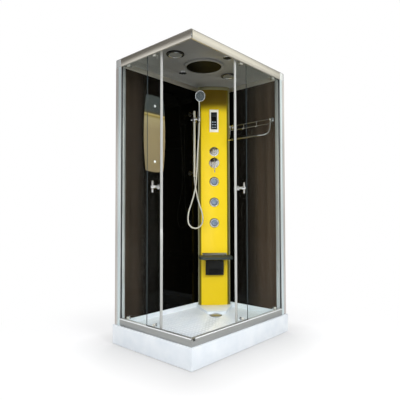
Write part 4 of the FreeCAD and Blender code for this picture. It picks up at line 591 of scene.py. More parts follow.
def evenPoints(points, spacing):
    even = [points[0]]
    carried = 0
    for start, end in zip(points, points[1:]):
        step = (end - start).length
        while step > 0 and carried + step >= spacing:
            start = start.lerp(end, (spacing - carried) / step)
            even.append(start)
            step = (end - start).length
            carried = 0
        carried += step
    even.append(points[-1])
    return even


def makeHose():
    line = hoseLine()
    rings = evenPoints(line, mm(hose["pitch"] / 3))
    verts, faces = [], []
    sides = hose["sides"]
    across = Vector((1, 0, 0))
    for number, point in enumerate(rings):
        ahead = (rings[min(number + 1, len(rings) - 1)] - rings[max(number - 1, 0)]).normalized()
        across = (across - ahead * across.dot(ahead)).normalized()
        third = ahead.cross(across)
        dip = mm(hose["groove"]) if number % 3 == 2 else 0  # every third ring is the strip's groove
        radius = mm(hose["diameter"] / 2) - dip
        for side in range(sides):
            turn = math.tau * side / sides
            verts.append(point + (across * math.cos(turn) + third * math.sin(turn)) * radius)
    for ring in range(len(rings) - 1):
        for side in range(sides):
            after = (side + 1) % sides
            faces.append((ring * sides + side, ring * sides + after, (ring + 1) * sides + after,
                          (ring + 1) * sides + side))
    faces.append(tuple(reversed(range(sides))))
    faces.append(tuple(range((len(rings) - 1) * sides, len(rings) * sides)))
    mesh = bpy.data.meshes.new("showerHose")
    mesh.from_pydata(verts, [], faces)
    piece = bpy.data.objects.new("showerHose", mesh)
    bpy.context.collection.objects.link(piece)
    soften(piece, 0)
    fit(piece, woundSteel, stands=["shower_hose"])


# wound stainless strip: bright crests, dull in the grooves
woundSteel, tree, shader, coords = startMaterial("woundStainlessStrip", {
    "Base Color": linearColour("#e4e2d8"), "Metallic": 0.5, "Roughness": 0.28})
film = addNoise(tree, coords, 200.0)
varyRoughness(tree, shader, film, 0.15, 0.32)
makeHose()
print("hose made")


# tray: softened shell and rows of raised grips on the basin floor
tray = {"radius": 5, "grip": (22, 10, 1.6), "gripRadius": 3.2, "pitch": (38, 30), "first": (-486, -300),
        "rows": 22, "columns": 17}


def makeTray():
    shell = softCopy("shower_tray", "trayShell", tray["radius"], 3)
    fit(shell, castAcrylic, stands=["shower_tray"])
    x, y = tray["first"]
    length, width, height = tray["grip"]
    grips = startBlock("trayGrips", (x - length / 2, y - width / 2, cabin["basin"] - 0.5),
                       (x + length / 2, y + width / 2, cabin["basin"] + height))
    applyModifier(grips, "BEVEL", width=mm(tray["gripRadius"]), segments=2, limit_method="ANGLE")
    applyModifier(grips, "ARRAY", count=tray["columns"], use_relative_offset=False,
                  use_constant_offset=True, constant_offset_displace=mm((tray["pitch"][0], 0, 0)))
    applyModifier(grips, "ARRAY", count=tray["rows"], use_relative_offset=False,
                  use_constant_offset=True, constant_offset_displace=mm((0, tray["pitch"][1], 0)))
    soften(grips, 0)
    fit(grips, castAcrylic)


makeTray()
print("tray made")


# rails, posts, and the black inserts at the entry corner's mitres
inserts = {
    "seam": (2, 11), "proud": 0.5, "top": (2172, 2228), "edge": (0.4, 1.7),
    "lips": ((12, 30, 195, 201.8), (-0.6, 6, 196.5, 201.8), (14, 34, 186, 194)),
}
postBands = {"proud": 0.8, "foot": 150.5, "head": 2168, "outer": (0, 21), "middle": (22, 35),
             "inner": (36.5, 61)}


def makeFrame():
    for name, node, finish in (("bottomRails", "bottom_rails", sillAluminium),
                               ("topRails", "top_rails", champagneAluminium)):
        fit(softCopy(node, name, 0.9, 2), finish, stands=[node])
    dress("wall_top_rails", "wallTopRails", champagneAluminium, 0.8, 2)
    dress("wall_posts", "wallPosts", brightAluminium, 1.2, 2)
    x, y = cabin["sideFace"], cabin["frontFace"]
    proud = inserts["proud"]
    low, high = inserts["top"]
    start, end = inserts["seam"]
    pieces = [startBlock("insert", (x + start, y - proud, low), (x + end, y + 1, high))]
    for start, end, foot, head in inserts["lips"]:
        pieces.append(startBlock("insert", (x + start, y - proud, foot), (x + end, y + 1, head)))
    fitJoined("cornerInserts", pieces, blackAbs, width=0.2, segments=1)
    edge = startBlock("cornerEdge", (x - 0.5, y - 0.5, low + 2), (x + inserts["edge"][1], y + 1, high - 20))
    fit(soften(edge, 0.3, 2), brightAluminium)
    proud = postBands["proud"]
    # bands on the posts' faces: the outer one is painted shade, the inner one a painted reflection
    for band, finish in (("outer", postShadeAluminium), ("middle", brightAluminium), ("inner", postReflectionAluminium)):
        start, end = postBands[band]
        front = startBlock(band, (cabin["endFace"] - end, y - proud, postBands["foot"]),
                           (cabin["endFace"] - start, y + 0.3, postBands["head"]))
        side = startBlock(band, (x - proud, cabin["rearFace"] - end, postBands["foot"]),
                          (x + 0.3, cabin["rearFace"] - start, postBands["head"]))
        strip = joinPieces(f"postBand{band.capitalize()}", [front, side])
        fit(soften(strip, 0.35, 2), finish)


makeFrame()
print("frame made")


# glass: panes keep their CAD shape, with gaskets where they enter the aluminium
seals = {
    "thick": 2.2, "wide": 5, "pane": (9, 15), "foot": 201, "head": 2182,
    "free": {"front": 45.2, "side": 46.2}, "held": {"front": 528, "side": 353},
    "lip": (-0.4, 8.4), "lipFoot": 197.2, "lipHead": 202.2, "lipStart": {"front": -550, "side": -404},
}


# a block along one of the two fronts, from distance, depth and height ranges
def frontBlock(which, name, along, depth, rise):
    x, y = cabin["sideFace"], cabin["frontFace"]
    if which == "front":
        return startBlock(name, (along[0], y + depth[0], rise[0]), (along[1], y + depth[1], rise[1]))
    return startBlock(name, (x + depth[0], along[0], rise[0]), (x + depth[1], along[1], rise[1]))


def makeGlass():
    paint(clearGlass, "fixed_pane_front", "fixed_pane_side", "front_door_glass", "side_door_glass")
    paint(blackGlass, "rear_wall", "end_wall")
    thick, wide, foot, head = seals["thick"], seals["wide"], seals["foot"], seals["head"]
    outside, inside = seals["pane"]
    gaskets, footSeals, edges, lips = [], [], [], []
    for which in ("front", "side"):
        free, held = seals["free"][which], seals["held"][which]
        for depth in ((outside - thick, outside), (inside, inside + thick)):
            gaskets.append(frontBlock(which, "gasket", (held - wide, held + 0.4), depth, (foot, head)))
            footSeals.append(frontBlock(which, "footSeal", (free + 1, held), depth,
                                        (foot - 0.4, foot + wide)))
        edges.append(frontBlock(which, "edge", (free - 1, free), (outside, inside), (foot, head)))
        # the lip: a white vinyl lip, carried over the rail's top edge as a painted highlight
        lips.append(frontBlock(which, "lip", (seals["lipStart"][which], held), seals["lip"],
                               (seals["lipFoot"], seals["lipHead"])))
    fitJoined("paneGaskets", gaskets, gasketRubber, width=0.6)
    fitJoined("paneFootSeals", footSeals, stripVinyl, width=0.6)
    fitJoined("paneEdges", edges, glassEdge, width=0.3, segments=1)
    fitJoined("railLips", lips, whiteVinylHighlight, width=0.5)


makeGlass()
print("glass made")


# sliding doors: a = along the glass from the leading edge, b = depth from the rails' outer face
door = {
    "lead": {"front": -69, "side": -85}, "length": {"front": 598, "side": 439},
    "plane": 38, "glass": 6, "wheelInset": 70, "wheelHeight": 214.8, "fin": 25, "shoeHeight": 2170,
    "handleInset": 38, "handleHeight": 1203, "outerReach": 56, "innerReach": 24,
    "bar": 6, "barLength": 84, "lip": (16.2, 17.8), "lipDepths": (35.5, 45.9),
}


def doorPoint(which, a, b, z):
    lead = door["lead"][which]
    if which == "front":
        return (lead + a, cabin["frontFace"] + b, z)
    return (cabin["sideFace"] + b, lead + a, z)


def inward(which):
    return (0, 1, 0) if which == "front" else (1, 0, 0)


def outward(which):
    return (0, -1, 0) if which == "front" else (-1, 0, 0)


# a turned part of a door, at a (along, depth, height) place
def doorTurned(which, name, outline, place, direction, sides=48):
    return turned(name, outline, facing(doorPoint(which, *place), direction), sides)


def makeHandle(which):
    z, reach, inner = door["handleHeight"], door["outerReach"], door["innerReach"]
    bar, half = door["bar"], door["barLength"] / 2
    outerGlass, innerGlass = door["plane"] - 0.4, door["plane"] + door["glass"] + 0.4
    outline = [(0, 0), (17, 0), (17, 2.6), (15.6, 3.8), (13.4, 4), (12.4, 6), (11.6, 12), (11.4, 24),
               (12, 34), (13, 41), (13, 46)]
    for step in range(1, 7):  # rounded boss that the bar passes through
        turn = math.pi / 2 * step / 6
        outline.append((13 * math.cos(turn), reach - 0.4 + 13 * math.sin(turn)))
    outline[-1] = (0, reach - 0.4 + 13)
    pieces = [doorTurned(which, "stem", outline, (door["handleInset"], outerGlass, z), outward(which))]
    short = [(0, 0), (17, 0), (17, 2.6), (15.6, 3.8), (13.4, 4), (11.2, 7), (10.4, inner - 4),
             (11, inner + 1), (9.6, inner + 4), (6, inner + 5.2), (0, inner + 5.2)]
    pieces.append(doorTurned(which, "stem", short, (door["handleInset"], innerGlass, z), inward(which)))
    for reachTo in (door["plane"] - reach, door["plane"] + door["glass"] + inner):
        grip = [(0, -half), (3, -half + 0.2), (5.2, -half + 1.6), (bar, -half + 4), (bar, -14),
                (bar - 1, -13.4),
                (bar - 1, 13.4), (bar, 14), (bar, half - 4), (5.2, half - 1.6), (3, half - 0.2), (0, half)]
        pieces.append(doorTurned(which, "grip", grip, (door["handleInset"], reachTo, z), (0, 0, 1), 24))
    handle = soften(joinPieces(f"{which}DoorHandle", pieces), 0)
    fit(handle, polishedChrome, f"{which}_door", [f"{which}_door_handle"])


def makeRollers(which):
    length = door["length"][which]
    places = (door["wheelInset"], length - door["wheelInset"])
    fittings = []
    covers = []
    for a in places:
        z = door["wheelHeight"]
        pin = [(0, 0), (4.6, 0), (5, 0.6), (5, 2), (3, 2), (3, 9.2), (6.5, 9.2), (6.5, 16), (0, 16)]
        fittings.append(doorTurned(which, "pin", pin, (a, door["fin"] - 4 - 2.3, z), inward(which), 24))
        collar = [(0, 0), (7.4, 0), (8.8, 1.2), (9, 4.9), (0, 4.9)]
        covers.append(doorTurned(which, "collar", collar, (a, door["plane"] - 5.4, z), inward(which), 32))
        for height in (z, door["shoeHeight"]):  # domed caps on the inside of the glass
            dome = [(0, 0), (12, 0), (12, 3.4), (11, 5.2), (8, 6.6), (4, 7.2), (4, 6.2), (0, 6.2)]
            covers.append(doorTurned(which, "cap", dome, (a, door["plane"] + door["glass"] + 0.4, height),
                                     inward(which), 32))
        neck = [(0, 0), (6.5, 0), (6.5, 10), (0, 10)]
        fittings.append(doorTurned(which, "neck", neck, (a, door["fin"] + 3, door["shoeHeight"]),
                                   inward(which), 24))
        shoe = doorShoe(which, a)
        fittings.append(shoe)
    fitJoined(f"{which}DoorCarriers", fittings, mouldedNylon, f"{which}_door", [f"{which}_door_carriers"])
    fitJoined(f"{which}DoorCaps", covers, polishedChrome, f"{which}_door")
    for number, a in enumerate(places, 1):
        tyre = [(3.05, -4), (10, -4), (10.8, -3.6), (11, -3), (11, -2), (9.7, -1.5), (9.5, -1.2),
                (9.5, 1.2),
                (9.7, 1.5), (11, 2), (11, 3), (10.8, 3.6), (10, 4), (8.4, 4), (8, 3.2), (5.6, 3.2),
                (5.2, 4), (3.05, 4), (3.05, -4)]
        wheel = doorTurned(which, "wheel", tyre, (a, door["fin"], door["wheelHeight"]), outward(which), 40)
        wheel.name = f"{which}DoorWheel{number}"
        node = f"{which}_door_wheel_{number}"
        fit(soften(wheel, 0), mouldedNylon, node, [node])


# the upper shoe: a block with its groove cut for the fin
def doorShoe(which, a):
    z, fin = door["shoeHeight"], door["fin"]
    low, high = doorPoint(which, a - 15, fin - 4, z - 8), doorPoint(which, a + 15, fin + 4, z + 6)
    shoe = startBlock("shoe", low, high)
    groove = startBlock("groove", doorPoint(which, a - 20, fin - 1.3, z + 3),
                        doorPoint(which, a + 20, fin + 1.3, z + 16))
    applyModifier(shoe, "BOOLEAN", operation="DIFFERENCE", object=groove)
    bpy.data.objects.remove(groove)
    return soften(shoe, 0.6, 2)


def makeDoors():
    for which in ("front", "side"):
        strip = softCopy(f"{which}_door_strip", f"{which}DoorStrip", 1.0, 3)
        fit(strip, stripVinyl, f"{which}_door", [f"{which}_door_strip"])
        lips = []
        start, end = door["lip"]
        for depth in door["lipDepths"]:  # a grey seal line along both faces of the strip
            lips.append(startBlock("lip", doorPoint(which, start, depth, 206),
                                   doorPoint(which, end, depth + 0.6, 2166)))
        fitJoined(f"{which}DoorLips", lips, gasketRubber, f"{which}_door", width=0.2,
                  segments=1)
        makeHandle(which)
        makeRollers(which)


makeDoors()
print("doors made")


# roof and what hangs in it
ceilingParts = {"light": 334, "grille": 250}


def makeCeiling():
    dress("roof_cap", "roofShell", formedAcrylic, 3.0, 3)
    disc = [(0, 0), (120, 0), (138, 0.6), (144, 1.6), (146.6, 3.6), (146.6, 4.4), (0, 4.4)]
    fit(soften(turned("ceilingDisc", disc, facing((0, 0, cabin["ceiling"] - 16), (0, 0, 1)), 96), 0),
        darkGloss, stands=["ceiling_disc"])
    rim = [(147.2, 0.4), (149, -0.6), (158, -0.8), (163, 0), (165.4, 2.4), (165.4, 17.8), (147.2, 17.8),
           (147.2, 0.4)]
    fit(soften(turned("ceilingRim", rim, facing((0, 0, cabin["ceiling"] - 18), (0, 0, 1)), 96), 0),
        formedAcrylic)
    rims, lenses, cans = [], [], []
    for side in (-1, 1):
        place = facing((side * ceilingParts["light"], 0, cabin["ceiling"]), (0, 0, 1))
        outer = [(63.6, -6.6), (64.6, -8.6), (66.6, -9.6), (68.8, -8.8), (70, -6.4), (70, -0.3),
                 (63.6, -0.3), (63.6, -6.6)]
        inner = [(50.6, -8.6), (51.4, -10.6), (53, -11.4), (54.8, -10.4), (55.4, -8), (55.4, 2), (50.6, 2),
                 (50.6, -8.6)]
        rims.append(turned("rim", inner, place, 72))
        cans.append(turned("ring", outer, place, 72))
        can = [(64, -5.4), (60, -4.4), (55.2, -5.6), (55.2, 30), (0, 30), (0, 34), (58, 34), (58, -0.3),
               (64, -0.3), (64, -5.4)]
        cans.append(turned("can", can, place, 72))
        lens = [(0, -5.6), (20, -6), (40, -7.2), (49, -8.6), (50.8, -8.8), (50.8, 4), (0, 4)]
        lenses.append(turned("lens", lens, place, 64))
    fitJoined("downlightRims", rims, polishedChrome, stands=["downlights"])
    fitJoined("downlightCans", cans, blackAbs)
    fitJoined("downlightLenses", lenses, frostedLens)
    dress("roof_grilles", "roofGrilles", blackAbs, 0.6, 2)
    rings = []
    for side in (-1, 1):
        place = facing((0, side * ceilingParts["grille"], cabin["ceiling"]), (0, 0, 1))
        ring = [(33.4, -5), (34, -6), (35.2, -5.8), (36.2, -4.4), (36.2, -0.2), (33.4, -0.2), (33.4, -5)]
        rings.append(turned("ring", ring, place, 48))
    fitJoined("grilleRings", rings, polishedChrome)
    paint(blackAbs, "fan_rotor")


makeCeiling()
print("ceiling made")


# the column's panel: one bowed sheet drawn from its section
panel = {"half": 140, "flat": 122, "edge": 17, "bulge": 30, "foot": 150.2, "head": 2200, "skin": 3}


def panelSection():
    points = []
    half, flat, edge, bulge = panel["half"], panel["flat"], panel["edge"], panel["bulge"]
    radius = (flat ** 2 + (bulge - edge) ** 2) / (2 * (bulge - edge))
    for step in range(-24, 25):
        s = flat * step / 24
        points.append((s, -(bulge - radius + math.sqrt(radius ** 2 - s ** 2))))
    turns = []
    for step in range(1, 9):
        turn = math.pi / 2 * step / 8
        turns.append((flat + (half - flat) * math.sin(turn), -edge * math.cos(turn)))
    left = [(-s, t) for s, t in reversed(turns)]
    return left + points + turns


def makePanel():
    section = panelSection()
    deselectAll()
    bpy.ops.mesh.primitive_plane_add(size=0.002, location=(0, 0, 0))
    piece = bpy.context.object
    piece.name = piece.data.name = "columnPanel"
    bpy.ops.object.mode_set(mode="EDIT")
    bpy.ops.mesh.select_mode(type="VERT")
    bpy.ops.mesh.select_all(action="SELECT")
    bpy.ops.mesh.merge(type="CENTER")
    last = mm((*section[0], panel["foot"]))
    bpy.ops.transform.translate(value=last)
    for s, t in section[1:]:
        point = mm((s, t, panel["foot"]))
        bpy.ops.mesh.extrude_region_move(TRANSFORM_OT_translate={"value": point - last})
        last = point
    bpy.ops.mesh.select_all(action="SELECT")
    rise = mm((0, 0, panel["head"] - panel["foot"]))
    bpy.ops.mesh.extrude_region_move(TRANSFORM_OT_translate={"value": rise})
    bpy.ops.mesh.select_all(action="SELECT")
    bpy.ops.mesh.normals_make_consistent(inside=False)
    bpy.ops.object.mode_set(mode="OBJECT")
    if piece.data.polygons[len(section) // 2].normal.y > 0:
        editAll(piece)
        bpy.ops.mesh.flip_normals()
        bpy.ops.object.mode_set(mode="OBJECT")
    applyModifier(piece, "SOLIDIFY", thickness=mm(panel["skin"]), offset=-1)
    soften(settle(piece, columnFrame), 0)
    fit(piece, yellowAcrylic, stands=["column_panel"])
    dress("column_frame", "columnTrims", goldAluminium, 1.0, 2)


makePanel()
print("column made")


# control panel
control = {"centre": 1898, "screen": (-23, 23, 1936, 1972), "keyRow": 25.5,
           "keyColumn": 12, "keyLow": 1835, "key": (15, 11)}


def onColumn(s, t, z):
    return columnFrame @ facing((s, t, z), (0, -1, 0))


def makeControls():
    face = cabin["itemFace"]
    dress("control_bezel", "controlBezel", whiteAbs, 1.4, 3)
    dress("control_display", "controlWindow", displayWindow, 0.4, 2)
    left, right, low, high = control["screen"]
    screen = startBlock("displayField", (left, face - 4.5, low), (right, face - 3.8, high))
    fit(settle(soften(screen, 0.3, 2), columnFrame), liquidCrystal)
    width, height = control["key"]
    for number in range(6):
        row, column = divmod(number, 2)
        s = (2 * column - 1) * control["keyColumn"]
        z = control["keyLow"] + row * control["keyRow"]
        front = face - 4 - 1.8
        key = startBlock(f"controlKey{number + 1}", (s - width / 2, front, z - height / 2),
                         (s + width / 2, front + 4.4, z + height / 2))
        pickOnly(key)
        bpy.ops.object.mode_set(mode="EDIT")
        bpy.ops.mesh.select_mode(type="FACE")
        bpy.ops.mesh.select_all(action="DESELECT")
        bpy.ops.object.mode_set(mode="OBJECT")
        for side in key.data.polygons:
            side.select = side.normal.y < -0.9
        bpy.ops.object.mode_set(mode="EDIT")
        bpy.ops.mesh.inset(thickness=mm(2.2), depth=0)
        bpy.ops.transform.translate(value=mm((0, 0.5, 0)))  # a finger dish
        bpy.ops.mesh.select_mode(type="VERT")
        bpy.ops.object.mode_set(mode="OBJECT")
        soften(key, 0.5, 2)
        fit(settle(key, columnFrame), keyCap, f"key_{number + 1}", [f"control_key_{number + 1}"])


makeControls()
print("controls made")


# valves
valves = {"diverter": 1602, "mixer": 1494, "flutes": 20}


def makeValves():
    face = cabin["itemFace"]
    place = onColumn(0, face, valves["diverter"])
    outline = [(8.1, 0), (45, 0), (45, 3), (44, 5.6), (40, 7.6), (33, 8.4), (29, 9), (27.6, 11),
               (27.4, 28), (26.4, 31.5), (23.5, 33.6), (19, 34.3), (18, 33.2), (0, 33)]
    pieces = [turned("rose", outline, place, 64)]
    for number in range(valves["flutes"]):
        turn = math.tau * number / valves["flutes"]
        ridge = [(0, 11), (1.5, 11.4), (1.9, 13), (1.9, 28), (1.2, 30), (0, 30.6)]
        at = place @ Matrix.Translation(mm((27.1 * math.cos(turn), 27.1 * math.sin(turn), 0)))
        pieces.append(turned("ridge", ridge, at, 8))
    pointer = startBlock("pointer", (-4, -24, 33), (4, 24, 38.6))
    pieces.append(settle(soften(pointer, 1.6, 3), place))
    fitJoined("diverterKnob", pieces, polishedChrome, "diverter", ["diverter_knob"])

    dress("mixer_collar", "mixerCollar", polishedChrome, 1.6, 3, "mixer")
    collarRing = [(24.1, 7.6), (30, 7.8), (30.4, 9), (29.6, 10.6), (27, 11.4), (24.1, 11.6), (24.1, 7.6)]
    ring = turned("mixerRing", collarRing, onColumn(0, face, valves["mixer"]), 64)
    fit(soften(ring, 0), polishedChrome, "mixer")
    dress("mixer_lever", "mixerLever", polishedChrome, 2.6, 4, "lever")


makeValves()
print("valves made")


# body jets: a chrome ring and a swivelling face with soft nozzles
jets = {"lowest": 924, "pitch": 196, "nozzles": ((0, 1), (9.5, 6), (18, 12))}


def makeJets():
    face = cabin["itemFace"]
    rings = []
    for number in range(3):
        z = jets["lowest"] + jets["pitch"] * number
        outline = [(33.6, -30), (33.6, 8), (30, 9.6), (29.7, 11.4), (31, 12.3), (37, 12), (42, 10.4),
                   (45, 7.4), (46, 4), (46, 0), (36, 0), (36, -32), (0, -32), (0, -30), (33.6, -30)]
        rings.append(turned("ring", outline, onColumn(0, face, z), 72))
        ball = []
        for step in range(13):  # the ball from its back cut to its front cut
            out = -14 + (23 + 14) * step / 12
            ball.append((math.sqrt(33 ** 2 - out ** 2), out))
        ball = [(0, -14)] + ball + [(21.5, 23.4), (20.6, 22.6), (0, 21.6)]
        place = onColumn(0, -23, z)
        head = soften(turned(f"jetFace{number + 1}", ball, place, 64), 0)
        fit(head, jetSilicone, f"nozzle_{number + 1}", [f"jet_nozzle_{number + 1}"])
        tips = []
        for radius, count in jets["nozzles"]:
            for step in range(count):
                turn = math.tau * step / count
                tip = [(0, 21), (1.7, 21.4), (1.5, 23.4), (0.7, 23.7), (0.6, 23), (0, 22.8)]
                at = place @ Matrix.Translation(mm((radius * math.cos(turn), radius * math.sin(turn), 0)))
                tips.append(turned("tip", tip, at, 10))
        fitJoined(f"jetTips{number + 1}", tips, whiteAbs, f"nozzle_{number + 1}")
    fitJoined("jetRings", rings, polishedChrome, stands=["jet_housings"])


makeJets()
print("jets made")


# seat and steam outlet: the seat has raised ribs across it
seatRibs = {"count": 5, "first": -92, "pitch": 32, "half": 126, "wide": 7, "foot": 620.5, "head": 623.4}


def makeSeat():
    dress("seat", "seatPlate", seatPlastic, 4.5, 4, "seat")
    slats = []
    half, wide = seatRibs["half"], seatRibs["wide"]
    for number in range(seatRibs["count"]):
        out = seatRibs["first"] - number * seatRibs["pitch"]
        slats.append(startBlock("rib", (-half, out - wide, seatRibs["foot"]),
                                (half, out + wide, seatRibs["head"])))
    ribs = joinPieces("seatRibs", slats)
    fit(settle(soften(ribs, 1.3, 3), columnFrame), seatPlastic, "seat")
    dress("seat_hinge", "seatHinge", brushedStainless, 1.0, 2)
    dress("steam_outlet", "steamOutlet", blackAbs, 3.0, 3)


makeSeat()
print("seat made")


# hand shower on its rail
handset = {"x": 252.243, "y": 286.846, "foot": 1869, "head": 2103, "tilt": 18, "turn": 20, "out": 12,
           "forward": 36,
           "slider": 1888}
handsetFrame = Matrix.Translation(mm((handset["x"], handset["y"], 0))) @ Matrix.Rotation(
    math.radians(cabin["columnTurn"]), 4, "Z")


def makeHandset():
    grip = [(0, 0), (9, 0), (11, 1), (11.2, 20), (10.6, 22), (12, 22.6), (12, 58), (13.8, 60),
            (13.8, 63.6), (12, 65.4), (11, 90),
            (10.8, 130), (11.8, 170), (13.4, 200), (14.6, 214), (13.6, 226), (9, 234), (0, 236)]
    handle = turned("handle", grip, handsetFrame @ facing((0, 0, handset["foot"] - 22), (0, 0, 1)), 40)
    tilt, turn = math.radians(handset["tilt"]), math.radians(handset["turn"])
    ahead = (math.sin(turn) * math.cos(tilt), -math.cos(turn) * math.cos(tilt), -math.sin(tilt))
    backFace = (handset["out"] * math.sin(turn), -handset["out"] * math.cos(turn), handset["head"])
    place = handsetFrame @ facing(backFace, ahead)
    back = [(0, -5.8), (16, -5.2), (30, -2.6), (42, 2), (48, 7), (50, 12), (50, 17), (48.6, 19.6),
            (45, 20), (44, 18.6), (43, 14), (0, 14)]
    bowl = turned("bowl", back, place, 72)
    fitJoined("handsetBody", [handle, bowl], polishedChrome, "hand_shower", ["handset"])
    plate = [(0, 14), (43.4, 14), (43.6, 18), (41, 19.4), (28, 19.8), (26, 19), (0, 18.6)]
    fit(soften(turned("handsetFace", plate, place, 72), 0), handsetSilicone, "hand_shower")
    tips = []
    for radius, count in ((0, 1), (8, 6), (16, 12), (23, 18), (34, 26)):
        for step in range(count):
            turn = math.tau * step / count
            tip = [(0, 18), (1.5, 18.4), (1.3, 21), (0.6, 21.3), (0, 20.6)]
            at = place @ Matrix.Translation(mm((radius * math.cos(turn), radius * math.sin(turn), 0)))
            tips.append(turned("tip", tip, at, 8))
    fitJoined("handsetTips", tips, whiteAbs, "hand_shower")

    z = handset["slider"]
    cup = [(12.3, -15), (17, -15), (17.5, -14), (17.5, -4), (16.6, -3), (16.6, 3), (17.5, 4), (17.5, 14),
           (17, 15), (12.3, 15), (12.3, -15)]
    cradle = turned("cup", cup, handsetFrame @ facing((0, 0, z), (0, 0, 1)), 48)
    boss = [(6.1, 0), (9, 0), (9.4, 1), (9, 8), (6.1, 8), (6.1, 0)]
    hub = turned("hub", boss, handsetFrame @ facing((-19, 0, z), (1, 0, 0)), 32)
    fitJoined("handsetCradle", [cradle, hub], polishedChrome, "hand_shower", ["handset_cradle"])

    rail = Matrix.Translation(mm((cabin["riserX"], cabin["riserY"], 0))) @ Matrix.Rotation(
        math.radians(cabin["columnTurn"]), 4, "Z")
    sleeve = [(11.1, -23), (17, -23), (19, -21), (19, -8), (18, -7), (18, 7), (19, 8), (19, 21), (17, 23),
              (11.1, 23), (11.1, -23)]
    body = turned("sleeve", sleeve, rail @ facing((0, 0, z), (0, 0, 1)), 48)
    knobLine = [(0, 0), (6, 0), (6, 6), (8.4, 7), (9, 9), (9, 16.6), (7.6, 18.6), (4, 19.4), (0, 19.4)]
    knob = turned("knob", knobLine, rail @ facing((-14.6, 0, z), (-1, 0, 0)), 24)
    forward = handset["forward"]
    arm = startBlock("arm", (-7.5, -forward, z - 8), (7.5, -16, z + 8))
    arm = settle(soften(arm, 2.2, 3), rail)
    bossLine = [(0, -8), (7.6, -8), (9, -6.6), (9, 19), (8.2, 20.6), (6, 21.4), (6, 26.4), (0, 26.4)]
    boss = turned("boss", bossLine, rail @ facing((0, -forward, z), (1, 0, 0)), 32)
    fitJoined("handsetSlider", [body, knob, arm, boss], polishedChrome, "slider", ["handset_slider"])
    paint(satinChrome, "riser_rail")
    paint(polishedChrome, "towel_rack")


makeHandset()
print("hand shower made")


# mirror: plate with a polished edge, on two studs
mirrorSizes = {"x": -205, "face": 383, "centre": 1697, "studs": 240}


def makeMirror():
    whole = softCopy("mirror", "mirrorPlate", 0)
    editAll(whole)
    bpy.ops.mesh.separate(type="LOOSE")
    bpy.ops.object.mode_set(mode="OBJECT")
    parts = list(bpy.context.selected_objects)
    parts.sort(key=lambda part: part.dimensions.x, reverse=True)
    plate = parts[0]
    for part in parts[1:]:
        bpy.data.objects.remove(part)
    plate.name = plate.data.name = "mirrorPlate"
    soften(plate, 1.4, 1)
    fit(plate, paintedReflectionMirror, stands=["mirror"])
    studs = []
    for side in (-1, 1):
        z = mirrorSizes["centre"] + side * mirrorSizes["studs"]
        outline = [(0, -20), (9, -20), (9, -5.2), (5, -5.2), (5, 0), (11, 0), (11, 2.6), (9.6, 4.2),
                   (6, 5), (0, 5)]
        studs.append(turned("stud", outline,
                            facing((mirrorSizes["x"], mirrorSizes["face"], z), (0, -1, 0)), 40))
    # the chrome studs are finished bright white: a painted highlight
    fitJoined("mirrorStuds", studs, whiteVinylHighlight)


makeMirror()
print("mirror made")


# under and behind
def makeWorks():
    paint(galvanisedSteel, "tray_frame", "corner_cleats")
    dress("levelling_feet", "levellingFeet", galvanisedSteel, 1.2, 2)
    dress("drain_trap", "drainTrap", greyPolypropylene, 1.0, 2)
    dress("drain_cover", "drainCover", brushedStainless, 0.8, 2)
    dress("water_manifold", "waterManifold", castBrass, 1.2, 2)
    dress("steam_generator", "steamGenerator", brushedStainless, 3.0, 3)


makeWorks()
print("works made")


# studio: white floor and background; metal sees a dark room with tall soft boxes
studio = {
    "floor": 24, "ambient": 0.7, "clearFrom": 1.0, "clearTo": 1.9, "paper": "#b4b4b5", "glow": 0.47,
    # the soft contact shade on the paper: centre and half size of the footprint, its reach and depth
    "shade": ((-0.05, -0.05), (0.56, 0.385), 0.4, 0.78),
    # soft boxes: azimuth and half width in degrees, lowest and highest rise, brightness, colour
    "boxes": ((-95, 27, -0.25, 0.75, 0.95, "#fffdf6"), (182, 15, -0.2, 0.6, 0.7, "#e8cfb8"),
              (-42, 30, -0.05, 0.24, 0.8, "#fbfbf6"), (-42, 40, 0.27, 0.62, 1.15, "#fbfbf2"),
              (134, 28, -0.12, 0.31, 1.0, "#f4f4f2"), (138, 32, 0.33, 0.6, 0.1, "#8a6e58"),
              (60, 30, 0.1, 0.6, 0.5, "#e6ebf2"), (228, 16, -0.06, 0.22, 0.7, "#f3ecdd")),
    "boxBlur": 5, "footBlur": 0.04, "headBlur": 0.06,  # soft edges: degrees aside, rise below and above
    "room": "#302820", "lid": (0.62, 0.85), "mirroredFloor": 0.12, "plainPaper": "#d8d8d8",
}


# how much of a soft box a reflection's direction meets
def softBox(tree, direction, rise, azimuth, half, low, high):
    turn = math.radians(azimuth)
    facingBox = addNode(tree, "VectorMath",
                        {"operation": "DOT_PRODUCT", 1: (math.cos(turn), math.sin(turn), 0)},
                        {0: direction})
    blur = studio["boxBlur"]
    outer, inner = math.cos(math.radians(half + blur)), math.cos(math.radians(half - blur))
    across = addNode(tree, "MapRange", {"From Min": outer, "From Max": inner},
                     {"Value": facingBox.outputs["Value"]})
    foot, head = studio["footBlur"], studio["headBlur"]
    above = addNode(tree, "MapRange", {"From Min": low - foot, "From Max": low + foot}, {"Value": rise})
    below = addNode(tree, "MapRange", {"From Min": high + head, "From Max": high - head}, {"Value": rise})
    window = addNode(tree, "Math", {"operation": "MULTIPLY"}, {0: above.outputs[0], 1: below.outputs[0]})
    return addNode(tree, "Math", {"operation": "MULTIPLY"},
                   {0: across.outputs[0], 1: window.outputs[0]}).outputs[0]


def mixColour(tree, amount, first, second):
    mixed = addNode(tree, "Mix", {"data_type": "RGBA"})
    tree.links.new(amount, mixed.inputs[0])
    for socket, value in ((6, first), (7, second)):
        if isinstance(value, tuple):
            mixed.inputs[socket].default_value = value
        else:
            tree.links.new(value, mixed.inputs[socket])
    return mixed.outputs[2]


